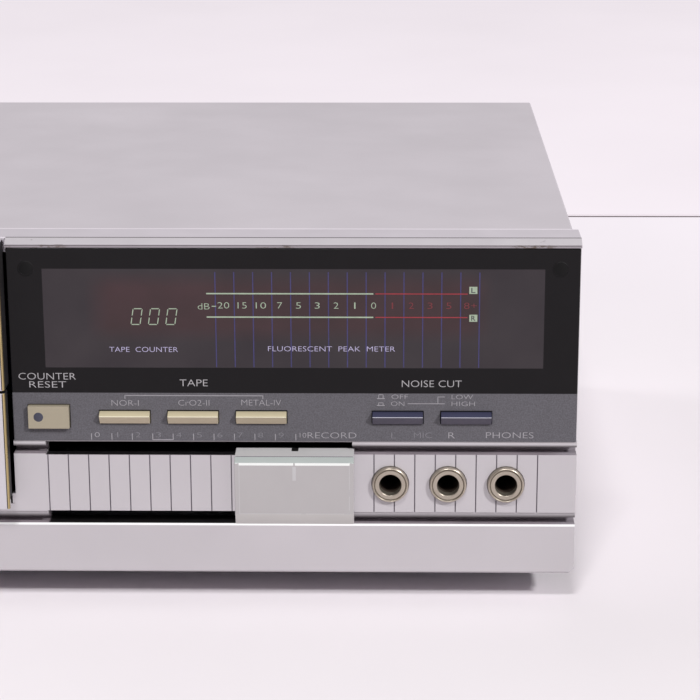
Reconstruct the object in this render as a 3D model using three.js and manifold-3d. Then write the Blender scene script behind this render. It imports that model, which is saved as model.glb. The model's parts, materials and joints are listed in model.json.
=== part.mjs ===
// A front-loading stereo cassette deck of slim hi-fi width, as an assembly of separate solids.
// Millimetres, +Z up. X runs left to right seen from the front, and +Y runs from the front to the back.
// Inside the deck group the fascia's face is Y = 0 and the plinth's lower edge is Z = 0.
// The group is then lifted by the feet and centred, so the part stands on Z = 0
// about the middle of its footprint.
import * as THREE from "three";
import { mergeVertices } from "three/addons/utils/BufferGeometryUtils.js";
import Module from "manifold-3d";

const wasm = await Module();
wasm.setup();

// ---- driving dimensions ----
const HALF_WIDTH = 215.8; // half of the 432 mm front
const PANEL_HEIGHT = 101.9; // plinth's lower edge to the top of the cover
const FOOT_HEIGHT = 10;
const CASE_HALF = 214.2; // the cover stands a little inside the front
const CASE_BACK = 223;
const FRONT_MOST = -7; // keys and record slider
const BACK_MOST = 231; // line sockets
const SHEET = 1.2; // steel sheet
const GAP = 0.3;

// levels of the fascia, from the plinth upwards
const PLINTH_TOP = 15.45;
const PLINTH_EDGE = 0.5; // bevel along the plinth's top
const STRIP_BOTTOM = 19.3;
const STRIP_TOP = 37.3;
const PLATE_BOTTOM = 41.3;
const BAND_TOP = 56.1; // grey control band ends and the black field starts
const PLATE_TOP = 99.45;
const CHANNEL_DEPTH = 5;
const CHANNEL_LIP = { y: 0.4, h: 1.6 }; // a lip hangs over the back of each channel
const FASCIA_DEPTH = 7;
const RECESS = 2.2; // the acrylic plate lies in this recess
const PLATE_THICK = 2;
const TOP_EDGE = { deep: 2.8, z: 100.5, lip: 99.65 }; // slanted upper edge of the fascia and the lip under it

// display side, to the right of the transport side
const SIDE_SPLIT = 50;
const STRIP_LINE_START = 60.4;
const STRIP_LINE_PITCH = 6;
const RULING = { w: 0.34, deep: 0.3 };
const WINDOW = { x0: 60.9, x1: 205.4, z0: 63.8, z1: 93.4 };
const COUNTER = { x: 61.3, z: 48.9, w: 12, h: 6.8 };
const BUTTON_PITCH = 20;
const TAPE_BUTTON_X = 83.5;
const NR_BUTTON_X = 163.3;
const BUTTON = { w: 14.7, z0: 46.9, ridge: 49.45, z1: 50.5, hole: 0.2 };
const JACK_X = [161.2, 178.2, 195.2];
const JACK_Z = 28.2;
const JACK_NUT = { inner: 4.6, outer: 5.45, back: 3.5, hole: 5.6 };
const SLIDER = { x: 133.2, w: 34.8, z0: 17.6, z1: 38.5, front: FRONT_MOST };
const SLOT = { x0: 59.8, x1: 150 };

// transport side
const MODULE_FRONT = -6;
const SILL_TOP = 21.6; // the strip goes on below the transport side as a narrow sill
const SILL_STEP = 24.8;
const MODULE_BOTTOM = 22;
const MODULE_TOP = 101.6;
const MODULE_SPLIT = 58;
const CHAMFER = 0.6; // gilt upright edges of the raised plates
const DOOR = { x0: -82, x1: 49.6 };
const DOOR_WINDOW = { x0: -70.5, x1: 38.1, z0: 64, z1: 96.5 };
const BANK = { x0: -215.8, x1: -82.8 };
const BAY_X = (DOOR.x0 + DOOR.x1) / 2; // middle of the cassette
const CASSETTE = { w: 101.2, t: 12.6, z: 32, y: 0.6 }; // the bay that holds it
const HUB_SPACING = 42.5;
const HUB_Z = CASSETTE.z + 34.5;
const HINGE = { y: 8, z: 24.5, r: 1.5 };
const CAPSTAN = { x: BAY_X + 24, z: CASSETTE.z + 6, r: 1.3 };
const MECH_Y = 20;
const FLYWHEEL = { r: 27, y: 27, t: 7 };
const PULLEY = { x: BAY_X - 42, z: 66, r: 5 };
const PINCH = { r: 6, drop: 3.5 };

// ---- materials ----
function material(color, roughness, metalness) {
  return new THREE.MeshStandardMaterial({ color, roughness, metalness });
}
const silverPanel = material(0xc9c5cb, 0.42, 0.6);
const silverPaint = material(0xc4c0c6, 0.5, 0.35);
const blackAcrylic = material(0x1b191a, 0.12, 0);
const blackPlastic = material(0x17171a, 0.5, 0);
const smoke = material(0x3a3536, 0.1, 0);
const greyBand = material(0x67666c, 0.5, 0.3);
const beige = material(0xc2b59b, 0.5, 0);
const slateBlue = material(0x45465e, 0.45, 0);
const clearCap = material(0xc6c9c6, 0.1, 0.1);
const nickel = material(0xc9c0ae, 0.25, 1);
const steel = material(0x9fa2a6, 0.4, 0.9);
const rubber = material(0x1d1d1f, 0.85, 0);
const board = material(0x2f5a35, 0.6, 0);
const copper = material(0x9a5a32, 0.4, 0.8);

// ---- shape helpers ----
function box(x0, x1, y0, y1, z0, z1) {
  const shape = new THREE.BoxGeometry(x1 - x0, y1 - y0, z1 - z0);
  return shape.translate((x0 + x1) / 2, (y0 + y1) / 2, (z0 + z1) / 2);
}

// A cylinder along Y from y0 to y1.
function rod(x, z, radius, y0, y1, sides = 24) {
  const shape = new THREE.CylinderGeometry(radius, radius, y1 - y0, sides);
  return shape.translate(x, (y0 + y1) / 2, z);
}

// A cylinder along X from x0 to x1.
function pinAlongX(y, z, radius, x0, x1, sides = 24) {
  const shape = new THREE.CylinderGeometry(radius, radius, x1 - x0, sides).rotateZ(Math.PI / 2);
  return shape.translate((x0 + x1) / 2, y, z);
}

// A closed outline of [y, z] points, extruded along X from x0 to x1.
function profileAlongX(points, x0, x1) {
  const outline = new THREE.Shape(points.map(([y, z]) => new THREE.Vector2(y, z)));
  const shape = new THREE.ExtrudeGeometry(outline, { depth: x1 - x0, bevelEnabled: false, curveSegments: 6 });
  // the extrusion runs along +Z: turn its outline's x to Y, its y to Z and its depth to X
  const turn = new THREE.Matrix4().makeBasis(
    new THREE.Vector3(0, 1, 0),
    new THREE.Vector3(0, 0, 1),
    new THREE.Vector3(1, 0, 0),
  );
  return shape.applyMatrix4(turn).translate(x0, 0, 0);
}

// A THREE.Shape in X and Z, extruded along Y from y0 to y1.
function plateAlongY(outline, y0, y1, curveSegments = 8) {
  const shape = new THREE.ExtrudeGeometry(outline, { depth: y1 - y0, bevelEnabled: false, curveSegments });
  return shape.rotateX(Math.PI / 2).translate(0, y1, 0);
}

// A profile of [radius, y] points turned about an axis along Y.
function turned(points, x, z, sides = 32) {
  const profile = points.map(([radius, y]) => new THREE.Vector2(radius, y));
  return new THREE.LatheGeometry(profile, sides).translate(x, 0, z);
}

function solid(geometry) {
  const bare = geometry.clone();
  for (const extra of ["normal", "uv"]) bare.deleteAttribute(extra);
  const merged = mergeVertices(bare, 1e-4);
  const mesh = new wasm.Mesh({
    numProp: 3,
    vertProperties: new Float32Array(merged.attributes.position.array),
    triVerts: new Uint32Array(merged.index.array),
  });
  return new wasm.Manifold(mesh);
}

function geometryOf(manifold) {
  const mesh = manifold.getMesh();
  const geometry = new THREE.BufferGeometry();
  geometry.setAttribute("position", new THREE.BufferAttribute(new Float32Array(mesh.vertProperties), 3));
  geometry.setIndex(new THREE.BufferAttribute(new Uint32Array(mesh.triVerts), 1));
  geometry.computeVertexNormals();
  return geometry;
}

function join(...shapes) {
  return geometryOf(shapes.map(solid).reduce((sum, next) => sum.add(next)));
}

function cut(shape, ...tools) {
  return geometryOf(tools.map(solid).reduce((rest, tool) => rest.subtract(tool), solid(shape)));
}

const deck = new THREE.Group();
function add(name, geometry, look) {
  const mesh = new THREE.Mesh(geometry, look);
  mesh.name = name;
  deck.add(mesh);
}

// ---- case ----
function topCover() {
  const inner = CASE_HALF - SHEET;
  const outer = box(-CASE_HALF, CASE_HALF, 14.2, CASE_BACK, 3, PANEL_HEIGHT);
  return cut(outer, box(-inner, inner, 10, CASE_BACK + 5, 0, PANEL_HEIGHT - SHEET));
}

function chassisPan() {
  const half = CASE_HALF - SHEET - GAP;
  const outer = box(-half, half, 14.6, 221, 1, 15);
  return cut(outer, box(-half + SHEET, half - SHEET, 14.6 + SHEET, 221 - SHEET, 1 + SHEET, 20));
}

const REAR = { y0: 218, y1: 219.4 };
const SOCKETS = { x: -150, z: 52, w: 44, h: 34 };
const INLET = { x: 160, z: 46, w: 26, h: 17 };

function rearPanel() {
  const half = CASE_HALF - SHEET - 2;
  const plate = box(-half, half, REAR.y0, REAR.y1, 3, PANEL_HEIGHT - SHEET - GAP);
  const openings = [SOCKETS, INLET].map((o) =>
    box(o.x - o.w / 2, o.x + o.w / 2, REAR.y0 - 2, REAR.y1 + 2, o.z - o.h / 2, o.z + o.h / 2),
  );
  return cut(plate, ...openings);
}

function frontFrame() {
  const sill = 9.5;
  const lintel = 97.4;
  const outer = box(-HALF_WIDTH, HALF_WIDTH, 3.4, 13.9, 0.6, PANEL_HEIGHT);
  const opening = box(-206, 206, 0, 20, sill, lintel);
  const sideClearance = [-1, 1].map((side) =>
    box(side * 211 - 6, side * 211 + 6, 0, FASCIA_DEPTH + GAP, sill, lintel),
  );
  return cut(outer, opening, ...sideClearance);
}

// The fascia is one moulding: plinth, two channels, the ruled strip between them,
// and the recess of the display plate.
function fasciaProfile() {
  const channel = (floor, top) => [
    [CHANNEL_LIP.y, top],
    [CHANNEL_LIP.y, top - CHANNEL_LIP.h],
    [CHANNEL_DEPTH, top - CHANNEL_LIP.h],
    [CHANNEL_DEPTH, floor],
  ];
  return [
    [0.6, 0],
    [3.1, 0],
    [3.1, 10],
    [FASCIA_DEPTH, 10],
    [FASCIA_DEPTH, 44],
    [4.6, 44],
    [4.6, 93.6],
    [3.1, 93.6],
    [3.1, PANEL_HEIGHT],
    [TOP_EDGE.deep, PANEL_HEIGHT],
    [0, TOP_EDGE.z],
    [0, TOP_EDGE.lip],
    [RECESS, TOP_EDGE.lip],
    [RECESS, PLATE_BOTTOM - 0.1],
    ...channel(STRIP_TOP, PLATE_BOTTOM - 0.1),
    [0, STRIP_TOP],
    [0, STRIP_BOTTOM],
    ...channel(PLINTH_TOP, STRIP_BOTTOM),
    [PLINTH_EDGE, PLINTH_TOP],
    [0, PLINTH_TOP - PLINTH_EDGE],
    [0, 0.6],
  ];
}

function stripLines() {
  const leftCount = 15; // the ruled lines run from the slot's end to under the slider, and on past the jacks
  const rightFirst = 16;
  const rightCount = 9;
  const leftNumbers = [...Array(leftCount).keys()];
  const rightNumbers = Array.from({ length: rightCount }, (_, i) => rightFirst + i);
  const numbers = [...leftNumbers, ...rightNumbers];
  return numbers.map((n) => {
    const x = STRIP_LINE_START + n * STRIP_LINE_PITCH;
    return box(x - RULING.w / 2, x + RULING.w / 2, -1, RULING.deep, STRIP_BOTTOM - 0.5, STRIP_TOP + 0.5);
  });
}

function controlHoles(depth0, depth1) {
  const clear = BUTTON.hole;
  const small = [0, 1, 2].map((i) => TAPE_BUTTON_X + i * BUTTON_PITCH);
  small.push(NR_BUTTON_X, NR_BUTTON_X + BUTTON_PITCH);
  const holes = small.map((x) =>
    box(
      x - BUTTON.w / 2 - clear, x + BUTTON.w / 2 + clear,
      depth0, depth1,
      BUTTON.z0 - clear, BUTTON.z1 + clear,
    ),
  );
  const c = COUNTER;
  holes.push(
    box(
      c.x - c.w / 2 - clear, c.x + c.w / 2 + clear,
      depth0, depth1,
      c.z - c.h / 2 - clear, c.z + c.h / 2 + clear,
    ),
  );
  return holes;
}

function plinthCorners() {
  const size = 2.4;
  const bite = 1.6; // how far the cut reaches along each side of the corner
  const offset = (size * Math.SQRT2 - bite) / 2;
  return [-1, 1].map((side) => {
    const wedge = box(-size, size, -2, 8, -size, size).rotateY(Math.PI / 4);
    return wedge.translate(side * (HALF_WIDTH + offset), 0, -offset);
  });
}

function fascia() {
  const bar = 3; // thickness of the strip where the slider's arms pass behind it
  return cut(
    profileAlongX(fasciaProfile(), -HALF_WIDTH, HALF_WIDTH),
    box(-HALF_WIDTH - 2, SIDE_SPLIT + 0.4, -2, 20, SILL_STEP, PANEL_HEIGHT + 5),
    box(-HALF_WIDTH - 2, SIDE_SPLIT - 0.1, -2, 20, SILL_TOP, SILL_STEP + 1),
    box(-HALF_WIDTH - 2, SIDE_SPLIT - 0.1, 2.6, 20, 20.2, SILL_TOP + 1),
    box(WINDOW.x0 - 1.5, WINDOW.x1 + 1.5, 0, 10, WINDOW.z0 - 1.5, WINDOW.z1 - 0.5),
    box(SLOT.x0, SLOT.x1, bar, 10, PLINTH_TOP, PLATE_BOTTOM - 0.3),
    box(SLOT.x0, SLOT.x1, -2, 10, STRIP_TOP - 0.3, PLATE_BOTTOM - 0.3),
    box(SLOT.x0, SLOT.x1, -2, 10, PLINTH_TOP, STRIP_BOTTOM + 0.2),
    ...JACK_X.map((x) => rod(x, JACK_Z, JACK_NUT.hole, -2, 10)),
    ...controlHoles(1, 10),
    ...stripLines(),
    ...plinthCorners(),
  );
}

function displayPlate() {
  const plate = box(SIDE_SPLIT + 0.7, HALF_WIDTH - 0.3, 0, PLATE_THICK, PLATE_BOTTOM, PLATE_TOP);
  return cut(plate, ...controlHoles(-2, 5));
}

function foot(x, y) {
  const profile = [
    [0, -FOOT_HEIGHT],
    [12, -FOOT_HEIGHT],
    [14, -FOOT_HEIGHT + 2],
    [15, 0.8],
    [0, 0.8],
  ];
  const shape = new THREE.LatheGeometry(profile.map(([r, z]) => new THREE.Vector2(r, z)), 24);
  return shape.rotateX(Math.PI / 2).translate(x, y, 0);
}

// ---- display side ----
function jack(x) {
  const bushing = rod(x, JACK_Z, 4.5, -0.9, FASCIA_DEPTH + 1);
  const body = box(x - 6.5, x + 6.5, FASCIA_DEPTH + 0.4, 28, JACK_Z - 7, JACK_Z + 7);
  return cut(join(bushing, body), rod(x, JACK_Z, 3.2, -3, 26.5));
}

function jackNut(x) {
  const { inner, outer, back } = JACK_NUT;
  return turned(
    [
      [inner, back],
      [inner, -1.2],
      [4.9, -1.6],
      [5.1, -1.5],
      [outer, -0.8],
      [outer, back],
      [inner, back],
    ],
    x,
    JACK_Z,
  );
}

// The slider's cap stands in front of the strip, and an arm above and below the strip
// joins it to its carrier behind.
function recordKnob() {
  const { x, w, z0, z1, front } = SLIDER;
  const half = w / 2;
  const arm = 12.5;
  const armTop = STRIP_TOP + 0.3;
  const carrierTop = z1 - 0.4; // the carrier behind lies a little lower than the cap
  const armBottom = STRIP_BOTTOM - 0.4;
  const low = PLINTH_TOP + 1.6;
  const bevel = { deep: 1.4, upper: 1.6, lower: 3.6 };
  const cap = profileAlongX(
    [
      [front, z0 + bevel.lower],
      [front + bevel.deep, z0],
      [-3, z0],
      [-1, low],
      [-0.4, low],
      [-0.4, z1],
      [front + bevel.deep, z1],
      [front, z1 - bevel.upper],
    ],
    x - half,
    x + half,
  );
  return join(
    cap,
    box(x - half, x + half, -0.5, 2.4, armTop, z1),
    box(x - arm, x + arm, 2.2, 5, armTop, carrierTop),
    box(x - arm, x + arm, -0.5, 5, low, armBottom),
    box(x - arm, x + arm, 3.5, 5, low, carrierTop),
    box(x - 2, x + 2, 4.5, 13, JACK_Z - 1, JACK_Z + 1),
  );
}

const POT = { x0: 63, x1: 145, y0: 10, y1: 19, h: 9 };
function recordPot() {
  const body = box(POT.x0, POT.x1, POT.y0, POT.y1, JACK_Z - POT.h / 2, JACK_Z + POT.h / 2);
  return cut(body, box(POT.x0 + 4, POT.x1 - 4, POT.y0 - 1, POT.y0 + 6, JACK_Z - 1.6, JACK_Z + 1.6));
}

const STEM = { half: 3, high: 1.2, end: 17 }; // what each button reaches into the switches with
// A push button's cap: a ridge across its face, with a shallow facet above it and a deep one below.
function pushButton(x) {
  const { w, z0, ridge, z1 } = BUTTON;
  const cap = profileAlongX(
    [
      [-0.7, z0],
      [6, z0],
      [6, z1],
      [-0.5, z1],
      [-2.3, ridge],
    ],
    x - w / 2,
    x + w / 2,
  );
  const middle = (z0 + z1) / 2;
  return join(cap, box(x - STEM.half, x + STEM.half, 5.5, STEM.end, middle - STEM.high, middle + STEM.high));
}

function counterButton() {
  const { x, z, w, h } = COUNTER;
  return join(
    box(x - w / 2, x + w / 2, -1.6, 6, z - h / 2, z + h / 2),
    box(x - STEM.half, x + STEM.half, 5.5, STEM.end, z - STEM.high, z + STEM.high),
  );
}

const SWITCHES = { x0: 54, x1: 200, y0: 15.8, y1: 30, z0: 42.5, z1: 55 };
function switchBank() {
  const { x0, x1, y0, y1, z0, z1 } = SWITCHES;
  const middle = (BUTTON.z0 + BUTTON.z1) / 2;
  const stems = [COUNTER.x, NR_BUTTON_X, NR_BUTTON_X + BUTTON_PITCH];
  for (let i = 0; i < 3; i++) stems.push(TAPE_BUTTON_X + i * BUTTON_PITCH);
  const holeHalf = STEM.half + 0.4;
  const holes = stems.map((x) => box(x - holeHalf, x + holeHalf, y0 - 1, 22, middle - 2, middle + 2));
  return cut(box(x0, x1, y0, y1, z0, z1), ...holes);
}

function meterTube() {
  return join(
    box(WINDOW.x0 + 5, WINDOW.x1 - 5, 5.2, 10.2, WINDOW.z0 + 1, WINDOW.z1 - 1.2),
    box(WINDOW.x0 + 9, WINDOW.x1 - 9, 10, 14, WINDOW.z0 + 4, WINDOW.z0 + 6),
  );
}

// ---- transport side ----
// A tray-shaped shell with its face at the module's front, an open back, and chamfered upright edges.
function shell(x0, x1, z0, z1, back, wall = 2) {
  const corner = [
    [x0, back],
    [x1, back],
    [x1, MODULE_FRONT + CHAMFER],
    [x1 - CHAMFER, MODULE_FRONT],
    [x0 + CHAMFER, MODULE_FRONT],
    [x0, MODULE_FRONT + CHAMFER],
  ];
  const outline = new THREE.Shape(corner.map(([x, y]) => new THREE.Vector2(x, y)));
  const outer = new THREE.ExtrudeGeometry(outline, { depth: z1 - z0, bevelEnabled: false });
  outer.translate(0, 0, z0);
  return cut(outer, box(x0 + wall, x1 - wall, MODULE_FRONT + wall, back + 5, z0 + wall, z1 - wall));
}

function doorFrame() {
  const w = DOOR_WINDOW;
  return cut(
    shell(DOOR.x0, DOOR.x1, MODULE_SPLIT + 0.4, MODULE_TOP, 2.6),
    box(w.x0, w.x1, MODULE_FRONT - 1, 0, w.z0, w.z1),
    box(DOOR.x0 + 2, DOOR.x1 - 2, -2.2, 5, MODULE_SPLIT, MODULE_SPLIT + 5),
  );
}

// The lower plate is thin along its foot, so that it swings out clear of the sill.
function doorLowerPlate() {
  return cut(
    shell(DOOR.x0, DOOR.x1, MODULE_BOTTOM, MODULE_SPLIT - 0.4, -1.6),
    box(DOOR.x0 - 1, DOOR.x1 + 1, MODULE_FRONT + 2, 0, MODULE_BOTTOM - 1, SILL_STEP),
  );
}

function doorPane() {
  const w = DOOR_WINDOW;
  const lip = 2;
  return join(
    box(w.x0 + 0.15, w.x1 - 0.15, MODULE_FRONT + 0.4, MODULE_FRONT + 2.6, w.z0 + 0.15, w.z1 - 0.15),
    box(w.x0 - lip, w.x1 + lip, MODULE_FRONT + 2.2, MODULE_FRONT + 3.6, w.z0 - lip, w.z1 + lip),
  );
}

const HOLDER_WALL = 1.6;
const HOLDER_TOP = 94;
const EAR = { r: 2.5, side: CASSETTE.w / 2 + HOLDER_WALL / 2 };
function cassetteHolder() {
  const c = CASSETTE;
  const half = c.w / 2;
  const front = c.y - HOLDER_WALL;
  const back = c.y + c.t + HOLDER_WALL;
  const outerHalf = half + HOLDER_WALL;
  const outer = box(BAY_X - outerHalf, BAY_X + outerHalf, front, back, c.z - 2.2, HOLDER_TOP);
  const ears = [-1, 1].flatMap((side) => {
    const x0 = BAY_X + side * EAR.side - HOLDER_WALL / 2;
    const x1 = x0 + HOLDER_WALL;
    return [
      box(x0, x1, HINGE.y - EAR.r, HINGE.y + EAR.r, HINGE.z, c.z),
      pinAlongX(HINGE.y, HINGE.z, EAR.r, x0, x1),
    ];
  });
  const doorPosts = [-1, 1].map((side) =>
    box(BAY_X + side * 44 - 3, BAY_X + side * 44 + 3, MODULE_FRONT + 2.2, front + 0.5, 46, 54),
  );
  return cut(
    join(outer, ...ears, ...doorPosts),
    box(BAY_X - half, BAY_X + half, c.y, c.y + c.t, c.z, HOLDER_TOP + 5),
    box(BAY_X - half + 7, BAY_X + half - 7, -8, c.y + 1, 58, HOLDER_TOP + 5),
    box(BAY_X - half + 7, BAY_X + half - 7, c.y + c.t - 1, 25, 20, HOLDER_TOP + 5),
    box(BAY_X - half + 9, BAY_X + half - 9, 2, 25, 20, c.z + 1),
    pinAlongX(HINGE.y, HINGE.z, HINGE.r + 0.1, BAY_X - 60, BAY_X + 60),
  );
}

const MECH = { x0: BAY_X - 58, x1: BAY_X + 58, z0: 17, z1: 98, y1: MECH_Y + 1.6 };
// The transport's plate, with ears for the door's pins, two legs, posts for the motor
// and a bracket behind the flywheel.
function mechPlate() {
  const { x0, x1, z0, z1, y1 } = MECH;
  const plate = box(x0, x1, MECH_Y, y1, z0, z1);
  const ears = [-1, 1].map((side) => {
    const x = BAY_X + side * (EAR.side + HOLDER_WALL + 0.6);
    return box(x - 0.8, x + 0.8, HINGE.y - 3, MECH_Y + 1, MODULE_BOTTOM, 30);
  });
  const panFloor = 1 + SHEET + 0.2;
  const legs = [x0, x1 - 10].flatMap((x) => [
    box(x, x + 10, MECH_Y, y1, panFloor, z0 + 1),
    box(x, x + 10, MECH_Y, MECH_Y + 14, panFloor, panFloor + 1.6),
  ]);
  const motorPosts = [-1, 1].map((side) =>
    rod(PULLEY.x + side * 11, PULLEY.z + side * 9, 1.6, MECH_Y + 1, FLYWHEEL.y + FLYWHEEL.t + 2.9, 12),
  );
  const bracketY = FLYWHEEL.y + FLYWHEEL.t + 0.5;
  const reach = FLYWHEEL.r + 6.5;
  const bracket = box(
    CAPSTAN.x - reach, CAPSTAN.x + reach,
    bracketY, bracketY + 1.6,
    CAPSTAN.z - 4, CAPSTAN.z + 4,
  );
  const bracketPosts = [-1, 1].map((side) =>
    rod(CAPSTAN.x + side * (reach - 2.2), CAPSTAN.z, 1.5, MECH_Y + 1, bracketY + 1, 12),
  );
  return cut(
    join(plate, ...ears, ...legs, ...motorPosts, bracket, ...bracketPosts),
    pinAlongX(HINGE.y, HINGE.z, HINGE.r + 0.05, BAY_X - 60, BAY_X + 60),
    ...[-1, 1].map((side) => rod(BAY_X + side * (HUB_SPACING / 2), HUB_Z, 3.1, MECH_Y - 2, MECH_Y + 4)),
    rod(CAPSTAN.x, CAPSTAN.z, CAPSTAN.r + 0.1, MECH_Y - 2, MECH_Y + 4),
  );
}

function hingePin(side) {
  const from = CASSETTE.w / 2 + 0.3;
  const to = from + HOLDER_WALL + 4;
  const ends = [BAY_X + side * from, BAY_X + side * to].sort((a, b) => a - b);
  return pinAlongX(HINGE.y, HINGE.z, HINGE.r, ends[0], ends[1]);
}

function reelSpindle(side) {
  const x = BAY_X + side * (HUB_SPACING / 2);
  const core = turned(
    [
      [0, 3.4],
      [1.4, 3.6],
      [3.1, 6.5],
      [3.1, 14.8],
      [12.5, 14.8],
      [12.5, 18.4],
      [3, 18.4],
      [3, 26],
      [0, 26],
    ],
    x,
    HUB_Z,
    24,
  );
  const splines = [0, 1, 2].map((i) => {
    const angle = (i * 2 * Math.PI) / 3;
    const spline = box(-0.6, 0.6, 6, 15, 2, 4.3).rotateY(angle);
    return spline.translate(x, 0, HUB_Z);
  });
  return join(core, ...splines);
}

function capstanFlywheel() {
  const { r, y, t } = FLYWHEEL;
  return turned(
    [
      [0, 2],
      [CAPSTAN.r, 2.2],
      [CAPSTAN.r, y - 2],
      [4, y - 2],
      [4, y + 1.5],
      [r - 5, y + 1.5],
      [r - 5, y],
      [r, y],
      [r, y + t],
      [0, y + t],
    ],
    CAPSTAN.x,
    CAPSTAN.z,
    36,
  );
}

function motorPulley() {
  return turned(
    [
      [0, FLYWHEEL.y],
      [PULLEY.r, FLYWHEEL.y],
      [PULLEY.r, FLYWHEEL.y + FLYWHEEL.t],
      [1, FLYWHEEL.y + FLYWHEEL.t],
      [1, FLYWHEEL.y + FLYWHEEL.t + 2],
      [0, FLYWHEEL.y + FLYWHEEL.t + 2],
    ],
    PULLEY.x,
    PULLEY.z,
    20,
  );
}

function driveMotor() {
  const front = FLYWHEEL.y + FLYWHEEL.t + 3;
  return turned(
    [
      [0, front],
      [16, front],
      [17, front + 1],
      [17, front + 30],
      [0, front + 30],
    ],
    PULLEY.x,
    PULLEY.z,
    28,
  );
}

// The outline of a belt round the flywheel and the pulley, at a distance off their rims.
function beltOutline(off) {
  const dx = PULLEY.x - CAPSTAN.x;
  const dz = PULLEY.z - CAPSTAN.z;
  const big = FLYWHEEL.r + off;
  const small = PULLEY.r + off;
  const lean = Math.acos((big - small) / Math.hypot(dx, dz));
  const heading = Math.atan2(dz, dx);
  const outline = new THREE.Shape();
  outline.absarc(CAPSTAN.x, CAPSTAN.z, big, heading + lean, heading - lean + 2 * Math.PI, false);
  outline.absarc(PULLEY.x, PULLEY.z, small, heading - lean, heading + lean, false);
  return outline;
}

function driveBelt() {
  const middle = FLYWHEEL.y + FLYWHEEL.t / 2;
  const ring = beltOutline(1.3);
  ring.holes.push(beltOutline(0.25));
  return plateAlongY(ring, middle - 2, middle + 2, 16);
}

const BRIDGE = { z0: 22, z1: 30, y: 18.2 };
// The sliding bridge: an upright plate against the mechanism, and a shelf that the head stands on.
function headBridge() {
  return join(
    box(BAY_X - 34, BAY_X + 12, BRIDGE.y, BRIDGE.y + 1.4, BRIDGE.z0, BRIDGE.z1),
    box(BAY_X - 26, BAY_X + 9, 3, BRIDGE.y + 1, BRIDGE.z0, BRIDGE.z0 + 1.4),
  );
}

function playHead() {
  const r = 3.2;
  const z = CASSETTE.z - 1.8 - r;
  return join(
    box(BAY_X - 6, BAY_X + 6, 3.4, 12.6, BRIDGE.z0 + 1.5, z),
    pinAlongX(8, z, r, BAY_X - 6, BAY_X + 6, 16),
  );
}

const PINCH_Z = CAPSTAN.z - CAPSTAN.r - PINCH.r - PINCH.drop;
const PINCH_PIVOT = { x: CAPSTAN.x + 15, z: PINCH_Z + 1 };
function pinchArm() {
  const y = 13.4;
  const { x, z } = PINCH_PIVOT;
  return join(
    box(CAPSTAN.x - 2.5, x + 2.5, y, y + 1.6, z - 2.5, z + 2),
    rod(x, z, 2.4, y - 1, MECH_Y - 0.4, 16),
    rod(CAPSTAN.x, PINCH_Z, 1, 2.5, y + 1, 12),
  );
}

function pinchRoller() {
  return turned(
    [
      [1.1, 3],
      [PINCH.r, 3],
      [PINCH.r, 12.6],
      [1.1, 12.6],
      [1.1, 3],
    ],
    CAPSTAN.x,
    PINCH_Z,
    24,
  );
}

// ---- transport keys ----
const KEY = { w: 36.2, h: 12, gapX: 1.6, gapZ: 2, front: FRONT_MOST };
const KEY_ROWS = [
  ["key_record", "key_pause", "key_stop"],
  ["key_rewind", "key_play", "key_forward"],
];
const KEYS_X = (BANK.x0 + BANK.x1) / 2;
const KEYS_Z = (MODULE_BOTTOM + MODULE_SPLIT) / 2;

function keyPlaces() {
  const places = [];
  KEY_ROWS.forEach((names, row) =>
    names.forEach((name, column) => {
      const x = KEYS_X + (column - 1) * (KEY.w + KEY.gapX);
      const z = KEYS_Z + (row - 0.5) * (KEY.h + KEY.gapZ);
      places.push({ name, x, z, w: KEY.w, h: KEY.h });
    }),
  );
  places.push({ name: "key_eject", x: BANK.x1 - 19, z: 70, w: 22, h: 9 });
  return places;
}

function transportKey({ x, z, w, h }) {
  const cap = box(x - w / 2, x + w / 2, KEY.front, -0.5, z - h / 2, z + h / 2);
  return join(cap, box(x - 4, x + 4, -1, 5, z - 3, z + 3));
}

const POWER = { x: BANK.x0 + 26, z: 79, w: 20, h: 12 };
const TIMER = { x: BANK.x0 + 66, z: 72, w: 8, h: 5, slot: 22 };

function controlWindows(y0, y1, clear) {
  const windows = keyPlaces().map((k) =>
    box(k.x - k.w / 2 - clear, k.x + k.w / 2 + clear, y0, y1, k.z - k.h / 2 - clear, k.z + k.h / 2 + clear),
  );
  const p = POWER;
  windows.push(box(
    p.x - p.w / 2 - clear, p.x + p.w / 2 + clear,
    y0, y1,
    p.z - p.h / 2 - clear, p.z + p.h / 2 + clear,
  ));
  const t = TIMER;
  windows.push(box(t.x - t.slot / 2, t.x + t.slot / 2, y0, y1, t.z - t.h / 2 - clear, t.z + t.h / 2 + clear));
  return windows;
}

const INSET = {
  x0: BANK.x0 + 7, x1: BANK.x1 - 6,
  upper0: MODULE_SPLIT + 3.4, upper1: 96.5,
  lower0: 25.4, lower1: 54.8,
};
function transportPanel() {
  const seam = box(
    BANK.x0 - 1, BANK.x1 + 1,
    MODULE_FRONT - 1, MODULE_FRONT + 0.8,
    MODULE_SPLIT - 0.4, MODULE_SPLIT + 0.4,
  );
  return cut(
    shell(BANK.x0, BANK.x1, MODULE_BOTTOM, MODULE_TOP, 2.6, 2.4),
    seam,
    box(INSET.x0, INSET.x1, MODULE_FRONT - 1, 0, INSET.upper0, INSET.upper1),
    box(INSET.x0, INSET.x1, MODULE_FRONT - 1, 0, INSET.lower0, INSET.lower1),
  );
}

function insert(z0, z1) {
  const lip = 1.5;
  const plate = join(
    box(INSET.x0 + 0.15, INSET.x1 - 0.15, MODULE_FRONT + 0.3, MODULE_FRONT + 2.8, z0 + 0.15, z1 - 0.15),
    box(INSET.x0 - lip, INSET.x1 + lip, MODULE_FRONT + 2.6, MODULE_FRONT + 4, z0 - 0.7, z1 + 0.7),
  );
  return cut(plate, ...controlWindows(MODULE_FRONT - 2, 4, 0.35));
}

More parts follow.
